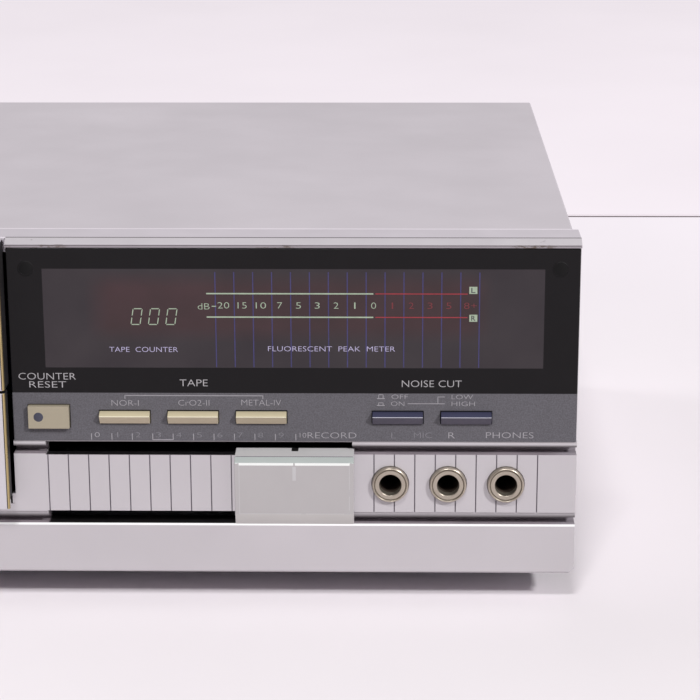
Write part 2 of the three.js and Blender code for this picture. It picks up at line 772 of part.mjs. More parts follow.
function powerButton() {
  const { x, z, w, h } = POWER;
  return join(
    box(x - w / 2, x + w / 2, FRONT_MOST + 0.2, -1, z - h / 2, z + h / 2),
    box(x - 3, x + 3, -1.5, 9, z - 3, z + 3),
  );
}

function timerKnob() {
  const { x, z, w, h } = TIMER;
  return join(
    box(x - w / 2, x + w / 2, FRONT_MOST + 0.4, -1, z - h / 2, z + h / 2),
    box(x - 1, x + 1, -1.5, 4, z - 1, z + 1),
  );
}

// ---- inside ----
function powerTransformer() {
  return join(
    box(125, 185, 136, 186, 5, 60),
    box(132, 178, 128, 194, 14, 52),
    box(116, 194, 146, 176, 2.4, 6),
  );
}

function lineSockets() {
  const { x, z, w, h } = SOCKETS;
  const block = box(
    x - w / 2 + 0.3, x + w / 2 - 0.3,
    REAR.y0 - 12, REAR.y1 + 1,
    z - h / 2 + 0.3, z + h / 2 - 0.3,
  );
  const collars = [];
  for (const column of [-1, 1])
    for (const row of [-1, 1]) collars.push(rod(x + column * 11, z + row * 8, 4.1, REAR.y1 - 1, BACK_MOST));
  return join(block, ...collars);
}

function powerInlet() {
  const { x, z, w, h } = INLET;
  const body = box(
    x - w / 2 + 0.3, x + w / 2 - 0.3,
    REAR.y0 - 14, REAR.y1 + 1.6,
    z - h / 2 + 0.3, z + h / 2 - 0.3,
  );
  const socket = box(x - 9, x + 9, REAR.y1 - 12, REAR.y1 + 5, z - 5, z + 5);
  const prongs = [-1, 1].map((side) => rod(x + side * 4.3, z, 1.2, REAR.y1 - 13, REAR.y1 - 2, 12));
  return join(cut(body, socket), ...prongs);
}

// ---- assembly ----
add("top_cover", topCover(), silverPaint);
add("chassis_pan", chassisPan(), steel);
add("rear_panel", rearPanel(), blackPlastic);
add("front_frame", frontFrame(), silverPaint);
add("fascia", fascia(), silverPanel);
add("display_plate", displayPlate(), blackAcrylic);
add("foot_front_left", foot(-170, 45), rubber);
add("foot_front_right", foot(170, 45), rubber);
add("foot_rear_left", foot(-170, 190), rubber);
add("foot_rear_right", foot(170, 190), rubber);

["mic_jack_left", "mic_jack_right", "phones_jack"].forEach((name, i) => {
  add(name, jack(JACK_X[i]), blackPlastic);
  add(name.replace("jack", "jack_nut"), jackNut(JACK_X[i]), nickel);
});
add("record_knob", recordKnob(), clearCap);
add("record_pot", recordPot(), steel);
for (let i = 0; i < 3; i++) {
  add(`tape_button_${i + 1}`, pushButton(TAPE_BUTTON_X + i * BUTTON_PITCH), beige);
}
for (let i = 0; i < 2; i++) {
  add(`nr_button_${i + 1}`, pushButton(NR_BUTTON_X + i * BUTTON_PITCH), slateBlue);
}
add("counter_button", counterButton(), beige);
add("switch_bank", switchBank(), blackPlastic);
add("meter_tube", meterTube(), smoke);
add("front_board", box(SIDE_SPLIT + 4, 204, 17, 18.6, 57, 95), board);

add("door_frame", doorFrame(), silverPanel);
add("door_lower_plate", doorLowerPlate(), silverPanel);
add("door_window", doorPane(), smoke);
add("cassette_holder", cassetteHolder(), blackPlastic);
add("hinge_pin_left", hingePin(-1), steel);
add("hinge_pin_right", hingePin(1), steel);
add("mech_plate", mechPlate(), steel);
add("supply_spindle", reelSpindle(-1), blackPlastic);
add("takeup_spindle", reelSpindle(1), blackPlastic);
add("capstan_flywheel", capstanFlywheel(), steel);
add("motor_pulley", motorPulley(), nickel);
add("drive_motor", driveMotor(), steel);
add("drive_belt", driveBelt(), rubber);
add("head_bridge", headBridge(), steel);
add("play_head", playHead(), nickel);
add("pinch_arm", pinchArm(), steel);
add("pinch_roller", pinchRoller(), rubber);

add("transport_panel", transportPanel(), silverPanel);
add("control_insert", insert(INSET.upper0, INSET.upper1), blackAcrylic);
add("key_surround", insert(INSET.lower0, INSET.lower1), greyBand);
for (const place of keyPlaces()) add(place.name, transportKey(place), silverPanel);
add("power_button", powerButton(), silverPanel);
add("timer_knob", timerKnob(), beige);

add("main_board", box(-200, 100, 80, 215, 22, 23.6), board);
add("power_transformer", powerTransformer(), copper);
add("line_sockets", lineSockets(), blackPlastic);
add("power_inlet", powerInlet(), blackPlastic);

deck.position.set(0, -(FRONT_MOST + BACK_MOST) / 2, FOOT_HEIGHT);
const part = new THREE.Group();
part.add(deck);

export default part;
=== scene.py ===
"""The looks of a stereo cassette deck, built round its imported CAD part.

Sizes are millimetres in the deck's own directions: X from its middle to the right, Y from the
fascia's face to the back, and Z from the plinth's lower edge upwards. at() turns them into the
frame's metres. The stage alone is laid out in metres.
"""

import json
import math

import bmesh
import bpy
from mathutils import Matrix, Vector


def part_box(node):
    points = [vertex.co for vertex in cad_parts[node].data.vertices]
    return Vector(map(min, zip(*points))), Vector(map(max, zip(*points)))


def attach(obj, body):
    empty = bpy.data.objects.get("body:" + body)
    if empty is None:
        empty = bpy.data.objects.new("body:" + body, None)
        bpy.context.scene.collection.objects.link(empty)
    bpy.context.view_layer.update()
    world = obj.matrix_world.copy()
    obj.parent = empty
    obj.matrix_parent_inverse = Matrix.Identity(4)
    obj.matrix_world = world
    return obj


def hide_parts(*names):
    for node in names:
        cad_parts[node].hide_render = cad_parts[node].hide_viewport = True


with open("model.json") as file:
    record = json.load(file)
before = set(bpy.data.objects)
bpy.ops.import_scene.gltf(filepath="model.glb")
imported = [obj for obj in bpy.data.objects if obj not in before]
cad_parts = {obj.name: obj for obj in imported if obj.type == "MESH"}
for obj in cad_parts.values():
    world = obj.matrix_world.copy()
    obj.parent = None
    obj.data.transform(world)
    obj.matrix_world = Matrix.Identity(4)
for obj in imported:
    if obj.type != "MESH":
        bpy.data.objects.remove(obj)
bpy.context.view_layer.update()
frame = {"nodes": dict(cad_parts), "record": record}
NODES = frame["nodes"]
BODIES = frame["record"]["behaviour"]["bodies"]
SLOT_OF = {s["node"]: s["material_slot"] for s in frame["record"]["subparts"]}
MM = 0.001
FACE_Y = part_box("display_plate")[0][1]
BASE_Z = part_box("fascia")[0][2]
INK = 0.03  # thickness of a printed legend


def at(x, y, z):
    return Vector((x * MM, FACE_Y + y * MM, BASE_Z + z * MM))


def to_mm(point):
    return Vector((point[0] / MM, (point[1] - FACE_Y) / MM, (point[2] - BASE_Z) / MM))


def node_box(name):
    """A CAD node's lowest and highest corners, in the deck's millimetres."""
    low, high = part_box(name)
    return to_mm(low), to_mm(high)


def middle_of(name):
    low, high = node_box(name)
    return (low + high) / 2


def body_of(node):
    return next(b for b, nodes in BODIES.items() if node in nodes)


# ---- the levels and lines that the looks share with the CAD ----
PLATE = node_box("display_plate")
PANEL_END = node_box("fascia")[1].x
BAND_TOP = 56.1  # the plate's grey control band ends here
SMOKE = {"x0": 60.9, "x1": 205.4, "z0": 63.8, "z1": 93.4}  # the clear part of the plate, over the meter
GLOW = {"x0": 76.5, "x1": 187.3, "z0": 73.8, "z1": 90.3}  # the tube's red filter behind it
STRIP = (19.3, 37.3)  # the ruled strip's lower and upper edge
SLOT = (59.8, 150)  # the slider's slot in the channels, from end to end
PLINTH_TOP = 15.45
SILL = (21.7, 24.7)  # the strip's end fills the gap beside the transport side up to here
SPLIT_Z = 58
LOW, HIGH = 0, 1


# ---- materials ----
LOOKS = {}


def principled(name, colour, roughness, metallic=0.0):
    """Starts a finish and files it under its name."""
    material = bpy.data.materials.new(name)
    material.use_nodes = True
    shader = material.node_tree.nodes["Principled BSDF"]
    shader.inputs["Base Color"].default_value = (*colour, 1.0)
    shader.inputs["Roughness"].default_value = roughness
    shader.inputs["Metallic"].default_value = metallic
    LOOKS[name] = material
    return material.node_tree, shader


def srgb(red, green, blue):
    """A colour given as 0 to 255 display values, as linear light."""

    def linear(value):
        value /= 255
        return value / 12.92 if value <= 0.04045 else ((value + 0.055) / 1.055) ** 2.4

    return tuple(linear(v) for v in (red, green, blue))


def coordinates(tree, scale=(1, 1, 1)):
    source = tree.nodes.new("ShaderNodeTexCoord")
    mapping = tree.nodes.new("ShaderNodeMapping")
    mapping.inputs["Scale"].default_value = scale
    tree.links.new(source.outputs["Object"], mapping.inputs["Vector"])
    return mapping.outputs["Vector"]


def noise(tree, scale, detail, stretch=(1, 1, 1), roughness=0.5):
    node = tree.nodes.new("ShaderNodeTexNoise")
    node.inputs["Scale"].default_value = scale
    node.inputs["Detail"].default_value = detail
    node.inputs["Roughness"].default_value = roughness
    tree.links.new(coordinates(tree, stretch), node.inputs["Vector"])
    return node.outputs["Fac"]


def ramp(tree, value, low, high, bottom=0.0, top=1.0):
    node = tree.nodes.new("ShaderNodeMapRange")
    for socket, number in (("From Min", low), ("From Max", high), ("To Min", bottom), ("To Max", top)):
        node.inputs[socket].default_value = number
    tree.links.new(value, node.inputs["Value"])
    return node.outputs["Result"]


def clouded(tree, scale, detail, low=0.0, high=1.0):
    """A soft noise between two values."""
    return ramp(tree, noise(tree, scale, detail), 0.3, 0.7, low, high)


def multiply(tree, first, second):
    node = tree.nodes.new("ShaderNodeMath")
    node.operation = "MULTIPLY"
    tree.links.new(first, node.inputs[0])
    tree.links.new(second, node.inputs[1])
    return node.outputs["Value"]


def mix_colour(tree, factor, first, second):
    node = tree.nodes.new("ShaderNodeMix")
    node.data_type = "RGBA"
    tree.links.new(factor, node.inputs["Factor"])
    for socket, colour in ((node.inputs[6], first), (node.inputs[7], second)):
        if isinstance(colour, tuple):
            socket.default_value = (*colour, 1.0)
        else:
            tree.links.new(colour, socket)
    return node.outputs[2]


def overpaint(tree, mask, colour):
    """Lays a colour over a finish where the mask is 1."""
    base = tree.nodes["Principled BSDF"].inputs["Base Color"]
    tree.links.new(mix_colour(tree, mask, base.links[0].from_socket, colour), base)


def axis_value(tree, axis):
    """The object's own X, Y or Z, in metres."""
    split = tree.nodes.new("ShaderNodeSeparateXYZ")
    tree.links.new(coordinates(tree), split.inputs["Vector"])
    return split.outputs[axis]


def inside(tree, axis, low, high, soft=0.02):
    """1 between two places along an axis, in the deck's millimetres, and 0 outside."""
    origin = at(0, 0, 0)["XYZ".index(axis)]
    value = axis_value(tree, axis)
    edge = soft * MM
    start, end = origin + low * MM, origin + high * MM
    rising = ramp(tree, value, start - edge, start + edge)
    falling = ramp(tree, value, end - edge, end + edge, 1.0, 0.0)
    return multiply(tree, rising, falling)


def inside_area(tree, area, soft_x=0.02, soft_z=0.02):
    """1 inside an upright area of the front, and 0 outside."""
    across = inside(tree, "X", area["x0"], area["x1"], soft_x)
    return multiply(tree, across, inside(tree, "Z", area["z0"], area["z1"], soft_z))


def bump(tree, shader, height, strength, distance):
    node = tree.nodes.new("ShaderNodeBump")
    node.inputs["Strength"].default_value = strength
    node.inputs["Distance"].default_value = distance
    tree.links.new(height, node.inputs["Height"])
    tree.links.new(node.outputs["Normal"], shader.inputs["Normal"])


def finish_surface(
    name,
    colour,
    roughness,
    metallic=0.0,
    mottle=0.04,
    mottle_scale=60,
    grain=0.0,
    grain_scale=2500,
    stretch=(1, 1, 1),
    coat=0.0,
    specular=0.5,
):
    """A moulded, painted or plated finish: cloudy changes of tone and gloss, and a fine grain."""
    tree, shader = principled(name, colour, roughness, metallic)
    darker = tuple(c * (1 - mottle * 2) for c in colour)
    lighter = tuple(min(1.0, c * (1 + mottle)) for c in colour)
    toned = mix_colour(tree, clouded(tree, mottle_scale, 4.0), darker, lighter)
    tree.links.new(toned, shader.inputs["Base Color"])
    rough = clouded(tree, mottle_scale * 2.3, 5.0, roughness * 0.88, roughness * 1.12)
    tree.links.new(rough, shader.inputs["Roughness"])
    if grain:
        bump(tree, shader, noise(tree, grain_scale, 2.0, stretch), grain, 0.0001)
    shader.inputs["Coat Weight"].default_value = coat
    shader.inputs["Coat Roughness"].default_value = 0.05
    shader.inputs["Specular IOR Level"].default_value = specular
    return tree


def worn_paint(name, colour, wear, amount):
    """A painted edge with small rubbed and stained marks along it."""
    tree = finish_surface(name, colour, 0.45, 0.2, 0.02, 60, 0.08, 2400)
    spots = ramp(tree, noise(tree, 320, 5.0, (1, 3, 3), 0.7), amount, amount + 0.05)
    patches = ramp(tree, noise(tree, 28, 2.0, (1, 0, 0)), 0.52, 0.6)
    overpaint(tree, multiply(tree, spots, patches), wear)


def scratched_paint(name, colour, roughness, metallic):
    """The cover's satin paint: a fine stipple, faint cloudiness and a few short rubbed marks."""
    tree = finish_surface(name, colour, roughness, metallic, 0.02, 14, 0.12, 1900)
    streaks = ramp(tree, noise(tree, 70, 3.0, (0.25, 1.6, 1), 0.6), 0.735, 0.76)
    overpaint(tree, streaks, tuple(c * 0.72 for c in colour))


def plate_material():
    """The display plate: black behind clear acrylic, a grey band, and a smoke window over the meter."""
    tree, shader = principled("display_acrylic", srgb(19, 18, 19), 0.16)
    black = mix_colour(tree, noise(tree, 90, 4.0), srgb(16, 14, 16), srgb(21, 19, 21))
    grey = mix_colour(tree, clouded(tree, 2600, 2.0), srgb(80, 78, 82), srgb(96, 94, 100))
    smoke = mix_colour(tree, clouded(tree, 45, 3.0), srgb(49, 44, 48), srgb(56, 51, 54))
    red = mix_colour(tree, clouded(tree, 60, 3.0), srgb(57, 45, 47), srgb(65, 49, 52))
    behind = mix_colour(tree, inside_area(tree, GLOW, 3.5, 2.5), smoke, red)
    upper = mix_colour(tree, inside_area(tree, SMOKE), black, behind)
    band = inside(tree, "Z", -50, BAND_TOP)
    tree.links.new(mix_colour(tree, band, upper, grey), shader.inputs["Base Color"])
    satin = tree.nodes.new("ShaderNodeMix")
    tree.links.new(band, satin.inputs["Factor"])
    tree.links.new(clouded(tree, 120, 4.0, 0.13, 0.2), satin.inputs[2])
    satin.inputs[3].default_value = 0.45
    tree.links.new(satin.outputs[0], shader.inputs["Roughness"])
    shader.inputs["Specular IOR Level"].default_value = 0.16


def channel_material():
    """The channels' metal floors in painted shade, lighter at the right end where side light comes in,
    and black along the slot.
    """
    tree = finish_surface("channel_shade", srgb(150, 140, 147), 0.5, 0.2, 0.08, 120)
    overpaint(tree, ramp(tree, axis_value(tree, "X"), 207 * MM, 212 * MM), srgb(155, 148, 155))
    overpaint(tree, inside(tree, "X", SLOT[LOW], SLOT[HIGH], 0.3), srgb(18, 16, 18))


def side_material():
    """The sides of the transport's plates, painted shade where they face the gaps, and silver below the
    strip's end.
    """
    tree = finish_surface("module_gap_shade", srgb(38, 36, 38), 0.5, 0.1, 0.05, 60, specular=0.3)
    overpaint(tree, inside(tree, "Z", 0, SILL[HIGH], 0.1), srgb(*SILVER))


def channel_lip(name, top, lit_from):
    """The lip over a channel: silver down to a level, and in the channel's shade at its lower edge."""
    tree = finish_surface(name, srgb(*SILVER), 0.45, 0.2, 0.02, 60)
    dark, lit = at(0, 0, top - 1.6).z, at(0, 0, lit_from).z
    overpaint(tree, ramp(tree, axis_value(tree, "Z"), dark, lit, 1.0, 0.0), srgb(62, 56, 60))


def clear_smoke():
    """The door's window: smoke acrylic that lets the cassette bay show through."""
    tree, shader = principled("smoke_acrylic", srgb(106, 99, 101), 0.04)
    tint = mix_colour(tree, noise(tree, 40, 3.0), srgb(92, 86, 87), srgb(109, 102, 104))
    tree.links.new(tint, shader.inputs["Base Color"])
    tree.links.new(clouded(tree, 150, 4.0, 0.02, 0.07), shader.inputs["Roughness"])
    shader.inputs["Transmission Weight"].default_value = 0.9
    shader.inputs["IOR"].default_value = 1.49


SILVER = (184, 179, 183)
FINISHES = {
    # colour, roughness, metallic, mottle, mottle's scale, grain, grain's scale
    "silver_panel": (SILVER, 0.42, 0.25, 0.015, 35, 0.08, 2600),
    "silver_frame": ((216, 209, 217), 0.45, 0.2, 0.015, 35, 0.1, 2400),
    "module_panel": ((191, 186, 192), 0.4, 0.2, 0.015, 35, 0.08, 2600),
    # The next finish is a painted highlight: a near-white, non-metallic tone for the bright line along
    # the plinth's top edge.
    "plinth_edge_highlight": ((222, 221, 222), 0.4, 0.0, 0.01, 80),
    "gilt_edge": ((181, 161, 115), 0.3, 0.7, 0.03, 90),
    "ruling_ink": ((113, 106, 115), 0.6, 0, 0.05, 200),
    "seam_shade": ((84, 78, 82), 0.6, 0, 0.05, 80),
    # The next finish is painted shade: near-black for the hollows of screw crosses, notches, gaps and
    # seams.
    "void_shade": ((14, 13, 14), 0.7, 0, 0.05, 80),
    "black_plastic": ((26, 26, 27), 0.5, 0, 0.05, 90, 0.2, 3200),
    "plug_black": ((19, 18, 19), 0.5, 0, 0.05, 90),
    "black_paint": ((34, 33, 34), 0.5, 0.1, 0.05, 60, 0.35, 1500),
    "black_acrylic": ((23, 21, 23), 0.15, 0, 0.05, 90),
    "beige_upper": ((186, 175, 147), 0.4, 0, 0.02, 140, 0.06, 3500),
    "beige_cap": ((149, 140, 122), 0.45, 0, 0.02, 140, 0.06, 3500),
    # Darker copies of the buttons' plastic for their lower facets are painted shade, and the light
    # ridge tones are painted highlights; the timer knob is in the darker beige.
    "beige_lower": ((174, 161, 139), 0.45, 0, 0.02, 140, 0.06, 3500),
    "beige_ridge_highlight": ((205, 199, 175), 0.3, 0, 0.02, 140),
    "slate_plastic": ((54, 55, 78), 0.4, 0, 0.04, 140, 0.06, 3500),
    # Painted shade for the slate buttons' lower facets, and a painted highlight for their ridges.
    "slate_lower_shade": ((68, 64, 78), 0.45, 0, 0.04, 140, 0.06, 3500),
    "slate_ridge_highlight": ((187, 187, 196), 0.3, 0, 0.02, 140),
    "slate_dot": ((55, 56, 71), 0.5, 0, 0.05, 300, 0.1, 3000),
    "key_silver": ((175, 170, 176), 0.4, 0.2, 0.02, 120, 0.06, 3000),
    "grey_band": ((87, 85, 90), 0.5, 0.05, 0.05, 900, 0.1, 3000),
    "knob_face": ((166, 162, 163), 0.35, 0.1, 0.012, 90),
    "knob_edge": ((175, 171, 175), 0.25, 0.1, 0.012, 90),
    "knob_green": ((156, 162, 160), 0.15, 0.0, 0.02, 60),
    # The next four finishes paint light on the slider: a lighter top and lower bevel for light through
    # its clear cap, a lighter tone for its side strips and pointer, and a near-white highlight.
    "knob_top_lit": ((200, 198, 199), 0.4, 0.1, 0.012, 90),
    "knob_lower_bevel_lit": ((172, 168, 167), 0.35, 0.1, 0.012, 90),
    "knob_sheen_and_pointer": ((178, 176, 178), 0.3, 0.1, 0.012, 90),
    "knob_highlight_paint": ((222, 224, 222), 0.2, 0, 0.01, 100),
    "nickel": ((177, 167, 154), 0.32, 0.8, 0.05, 220, 0.05, 1500),
    # The next finish is painted shade, for the groove between a jack's nut and its bushing.
    "groove_shade": ((132, 118, 102), 0.4, 0.6, 0.1, 220),
    "zinc_steel": ((148, 150, 155), 0.38, 0.85, 0.08, 45, 0.08, 900),
    "bright_steel": ((181, 181, 184), 0.18, 1.0, 0.03, 150),
    "screw_black": ((26, 26, 28), 0.3, 0.7, 0.05, 200),
    "brass": ((168, 141, 85), 0.3, 0.9, 0.05, 200),
    "rubber": ((32, 32, 34), 0.8, 0, 0.08, 120, 0.3, 2200),
    "circuit_board": ((39, 72, 42), 0.45, 0, 0.06, 220),
    "laminations": ((62, 58, 55), 0.5, 0.5, 0.1, 60, 0.5, 900, (1, 1, 30)),
    "copper_wire": ((148, 85, 51), 0.35, 0.7, 0.06, 90, 0.6, 700, (1, 1, 8)),
    "glass": ((62, 65, 64), 0.08, 0, 0.03, 60),
    "red_plastic": ((145, 32, 35), 0.35, 0, 0.04, 200),
    "white_plastic": ((196, 194, 189), 0.35, 0, 0.03, 200),
    "capacitor_blue": ((39, 51, 85), 0.35, 0, 0.05, 300),
    "white_ink": ((161, 158, 161), 0.6, 0, 0.05, 900),
    "lavender_ink": ((170, 163, 194), 0.6, 0, 0.05, 900),
    "pale_ink": ((145, 142, 147), 0.6, 0, 0.06, 900),
    "worn_ink": ((113, 111, 117), 0.6, 0, 0.08, 900),
    "bore_brown": ((60, 50, 44), 0.5, 0, 0.2, 500),
    "brown_line": ((44, 37, 32), 0.6, 0, 0.05, 500),
    "dark_ink": ((62, 60, 65), 0.6, 0, 0.05, 500),
    "meter_green": ((148, 162, 142), 0.6, 0, 0.05, 700),
    "meter_red": ((139, 39, 49), 0.6, 0, 0.06, 700),
    "meter_dim_red": ((106, 35, 41), 0.6, 0, 0.06, 700),
    "meter_blue": ((51, 48, 97), 0.6, 0, 0.08, 700),
}
COATS = {"knob_face": 0.4, "knob_edge": 0.5, "knob_green": 0.6, "knob_lower_bevel_lit": 0.4}
SPECULARS = {
    "void_shade": 0.2,
    "black_plastic": 0.35,
    "plug_black": 0.12,
    "black_paint": 0.4,
    "black_acrylic": 0.35,
}
for finish, (tone, *values) in FINISHES.items():
    coat, specular = COATS.get(finish, 0.0), SPECULARS.get(finish, 0.5)
    finish_surface(finish, srgb(*tone), *values, coat=coat, specular=specular)
scratched_paint("cover_paint", srgb(215, 208, 215), 0.5, 0.2)
worn_paint("worn_lip", srgb(146, 139, 145), srgb(99, 87, 81), 0.53)
# The fascia's upper chamfer: the panel's silver painted lighter, as light on its upward face, with
# rubbed marks along it.
worn_paint("upper_chamfer_lit", srgb(192, 187, 192), srgb(120, 113, 113), 0.62)
channel_lip("upper_channel_lip", PLATE[LOW].z, PLATE[LOW].z - 0.9)
channel_lip("lower_channel_lip", STRIP[LOW], STRIP[LOW] - 0.1)
channel_material()
side_material()
plate_material()
clear_smoke()


# ---- camera, stage and light ----
TABLE_REACH, TABLE_DEPTH = 3, 0.05  # metres


def make_camera():
    """Above the deck, in front of its right-hand half, looking down a little."""
    swing, tilt, roll = math.radians(1.08), math.radians(16.46), math.radians(-0.17)
    ahead = math.cos(tilt)
    forward = Vector((-math.sin(swing) * ahead, math.cos(swing) * ahead, -math.sin(tilt)))
    level = Vector((math.cos(swing), math.sin(swing), 0))
    upright = level.cross(forward)
    right = level * math.cos(roll) + upright * math.sin(roll)
    up = upright * math.cos(roll) - level * math.sin(roll)
    data = bpy.data.cameras.new("camera")
    data.sensor_width = 36
    data.lens = 114.5
    data.clip_start = 0.01
    data.clip_end = 20
    camera = bpy.data.objects.new("camera", data)
    axes = Matrix((right, up, -forward)).transposed().to_4x4()
    camera.matrix_world = Matrix.Translation(at(161.1, -618.0, 251.9)) @ axes
    bpy.context.scene.collection.objects.link(camera)
    bpy.context.scene.camera = camera


def area_light(name, place, aim, size, power):
    data = bpy.data.lights.new(name, "AREA")
    data.shape = "RECTANGLE"
    data.size, data.size_y = size
    data.energy = power
    light = bpy.data.objects.new(name, data)
    light.location = place
    light.rotation_euler = (Vector(aim) - Vector(place)).to_track_quat("-Z", "Y").to_euler()
    bpy.context.scene.collection.objects.link(light)


def stage_box(name, y0, y1, top, look):
    """A wide slab of the table, from y0 to y1."""
    mesh = bpy.data.meshes.new(name)
    bm = bmesh.new()
    bmesh.ops.create_cube(bm, size=1)
    low, high = (-TABLE_REACH, y0, -TABLE_DEPTH), (TABLE_REACH, y1, top)
    for vert in bm.verts:
        vert.co = Vector([low[i] if vert.co[i] < 0 else high[i] for i in range(3)])
    bm.to_mesh(mesh)
    bm.free()
    mesh.materials.append(LOOKS[look])
    obj = bpy.data.objects.new(name, mesh)
    bpy.context.scene.collection.objects.link(obj)


def table_material():
    """A pale painted table with painted light: its colour turns lighter towards the back, to make up
    for the lamps' light, which falls off there.
    """
    colour = srgb(234, 228, 232)
    tree = finish_surface("table_paint", colour, 0.6, 0, 0.012, 4, 0.1, 300, specular=0.15)
    # Painted light: the back of the table is painted lighter.
    back = ramp(tree, axis_value(tree, "Y"), FACE_Y + 0.15, FACE_Y + 0.5)
    overpaint(tree, back, srgb(248, 241, 248))


def make_stage():
    """A pale table with a hairline joint behind the deck, three lamps and a soft, even sky."""
    table_material()
    finish_surface("far_table_paint", srgb(248, 240, 247), 0.7, 0, 0.01, 3, specular=0.15)
    finish_surface("joint_shade", srgb(104, 94, 98), 0.8, 0, 0.02, 30)
    joint, joint_width, joint_depth = FACE_Y + 0.513, 0.007, 0.001
    stage_box("table", -TABLE_REACH, joint, 0, "table_paint")
    stage_box("table_joint", joint, joint + joint_width, -joint_depth, "joint_shade")
    stage_box("far_table", joint + joint_width, TABLE_REACH, 0, "far_table_paint")
    area_light("key", (7.0, -7.2, 7.0), (0.1, 0, 0), (0.96, 0.96), 1190)
    area_light("front", (-0.9, -6.3, 8.1), (0.1, 0, 0), (1.8, 1.0), 455)
    area_light("side", (-6.0, 1.6, 4.5), (0.2, 0.4, 0), (2.0, 2.0), 90)
    world = bpy.data.worlds.new("world")
    world.use_nodes = True
    background = world.node_tree.nodes["Background"]
    background.inputs["Color"].default_value = (1.0, 0.965, 0.96, 1)
    background.inputs["Strength"].default_value = 0.2
    bpy.context.scene.world = world
    bpy.context.scene.view_settings.view_transform = "Standard"


# ---- building pieces ----
def add_piece(name, bm, look, slot=None, body="deck", replaced=()):
    """Makes an object of a mesh, flat faces kept flat beside rounded edges, and rides it on a body."""
    bmesh.ops.recalc_face_normals(bm, faces=bm.faces)
    mesh = bpy.data.meshes.new(name)
    bm.to_mesh(mesh)
    bm.free()
    obj = bpy.data.objects.new(name, mesh)
    for each in [look] if isinstance(look, str) else look:
        mesh.materials.append(LOOKS[each])
    mesh.polygons.foreach_set("use_smooth", [True] * len(mesh.polygons))
    mesh.set_sharp_from_angle(angle=math.radians(40))
    flat = obj.modifiers.new("flat_faces", "WEIGHTED_NORMAL")
    flat.mode = "FACE_AREA"
    flat.keep_sharp = True
    bpy.context.scene.collection.objects.link(obj)
    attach(obj, body)
    slot or look
    for node in replaced:
        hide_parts(node)
    return obj


def node_mesh(node):
    """A CAD node's shape as one welded surface with its flat faces whole."""
    bm = bmesh.new()
    bm.from_mesh(NODES[node].data)
    bmesh.ops.remove_doubles(bm, verts=bm.verts, dist=2e-6)
    flat = {"angle_limit": math.radians(0.5), "use_dissolve_boundaries": False}
    bmesh.ops.dissolve_limit(bm, verts=bm.verts, edges=bm.edges, **flat)
    return bm


def soften(bm, width, segments=2, least_angle=35, edges=None, paint_slot=-1):
    """Rounds the shape's sharp edges, or only the edges given."""
    if edges is None:
        least = math.radians(least_angle)
        edges = [e for e in bm.edges if len(e.link_faces) == 2 and e.calc_face_angle(0) > least]
    bmesh.ops.bevel(
        bm,
        geom=edges,
        offset=width * MM,
        offset_type="OFFSET",
        segments=segments,
        profile=0.5,
        affect="EDGES",
        clamp_overlap=True,
        loop_slide=True,
        material=paint_slot,
    )


def refine(node, look=None, width=0.3, segments=2, least_angle=35, paint=None):
    """Shows a CAD node, edges rounded; paint(normal, centre) picks a finish for each flat face."""
    bm = node_mesh(node)
    if paint:
        for face in bm.faces:
            face.material_index = paint(face.normal, to_mm(face.calc_center_median()))
    soften(bm, width, segments, least_angle)
    slot = SLOT_OF[node]
    return add_piece(f"{node}_body", bm, look or slot, slot, body_of(node), [node])


def block(bm, x0, x1, y0, y1, z0, z1):
    """Adds a box to the mesh."""
    corners = [bm.verts.new(at(x, y, z)) for x in (x0, x1) for y in (y0, y1) for z in (z0, z1)]
    for loop in ((0, 1, 3, 2), (4, 6, 7, 5), (0, 4, 5, 1), (2, 3, 7, 6), (0, 2, 6, 4), (1, 5, 7, 3)):
        bm.faces.new([corners[i] for i in loop])


def merge(bm, other):
    """Adds another mesh to this one."""
    scratch = bpy.data.meshes.new("scratch")
    other.to_mesh(scratch)
    other.free()
    bm.from_mesh(scratch)
    bpy.data.meshes.remove(scratch)


def rounded_block(bm, x0, x1, y0, y1, z0, z1, radius, segments=3):
    part = bmesh.new()
    block(part, x0, x1, y0, y1, z0, z1)
    soften(part, radius, segments, 10)
    merge(bm, part)


def prism(bm, outline, y0, y1):
    """Adds an (x, z) outline extruded along Y."""
    front = [bm.verts.new(at(x, y0, z)) for x, z in outline]
    back = [bm.verts.new(at(x, y1, z)) for x, z in outline]
    bm.faces.new(front)
    bm.faces.new(list(reversed(back)))
    for i in range(len(outline)):
        j = (i + 1) % len(outline)
        bm.faces.new((front[i], back[i], back[j], front[j]))


def turn(bm, profile, centre, axis="Y", sides=48, closed=False):
    """Adds a shape turned about an axis through centre; profile holds (radius, place along it)."""
    rings = []
    for radius, along in profile:
        ring = []
        for i in range(sides if radius > 0 else 1):
            angle = 2 * math.pi * i / sides
            u, v = radius * math.cos(angle), radius * math.sin(angle)
            x, y, z = {"X": (along, u, v), "Y": (u, along, v), "Z": (u, v, along)}[axis]
            ring.append(bm.verts.new(at(centre[0] + x, centre[1] + y, centre[2] + z)))
        rings.append(ring)
    pairs = list(zip(rings, rings[1:]))
    if closed:
        pairs.append((rings[-1], rings[0]))
    for near, far in pairs:
        for i in range(sides):
            j = (i + 1) % sides
            corners = [near[i % len(near)], near[j % len(near)], far[j % len(far)], far[i % len(far)]]
            bm.faces.new(list(dict.fromkeys(corners)))


def turned_piece(
    name, profile, centre, axis, sides, look, slot=None, body="deck", replaced=(), closed=False
):
    """Makes a piece of one turned shape."""
    bm = bmesh.new()
    turn(bm, profile, centre, axis, sides, closed)
    add_piece(name, bm, look, slot, body, replaced)


def circle(x, z, radius):
    sides = 32
    angles = [2 * math.pi * i / sides for i in range(sides)]
    return [(x + radius * math.cos(angle), z + radius * math.sin(angle)) for angle in angles]


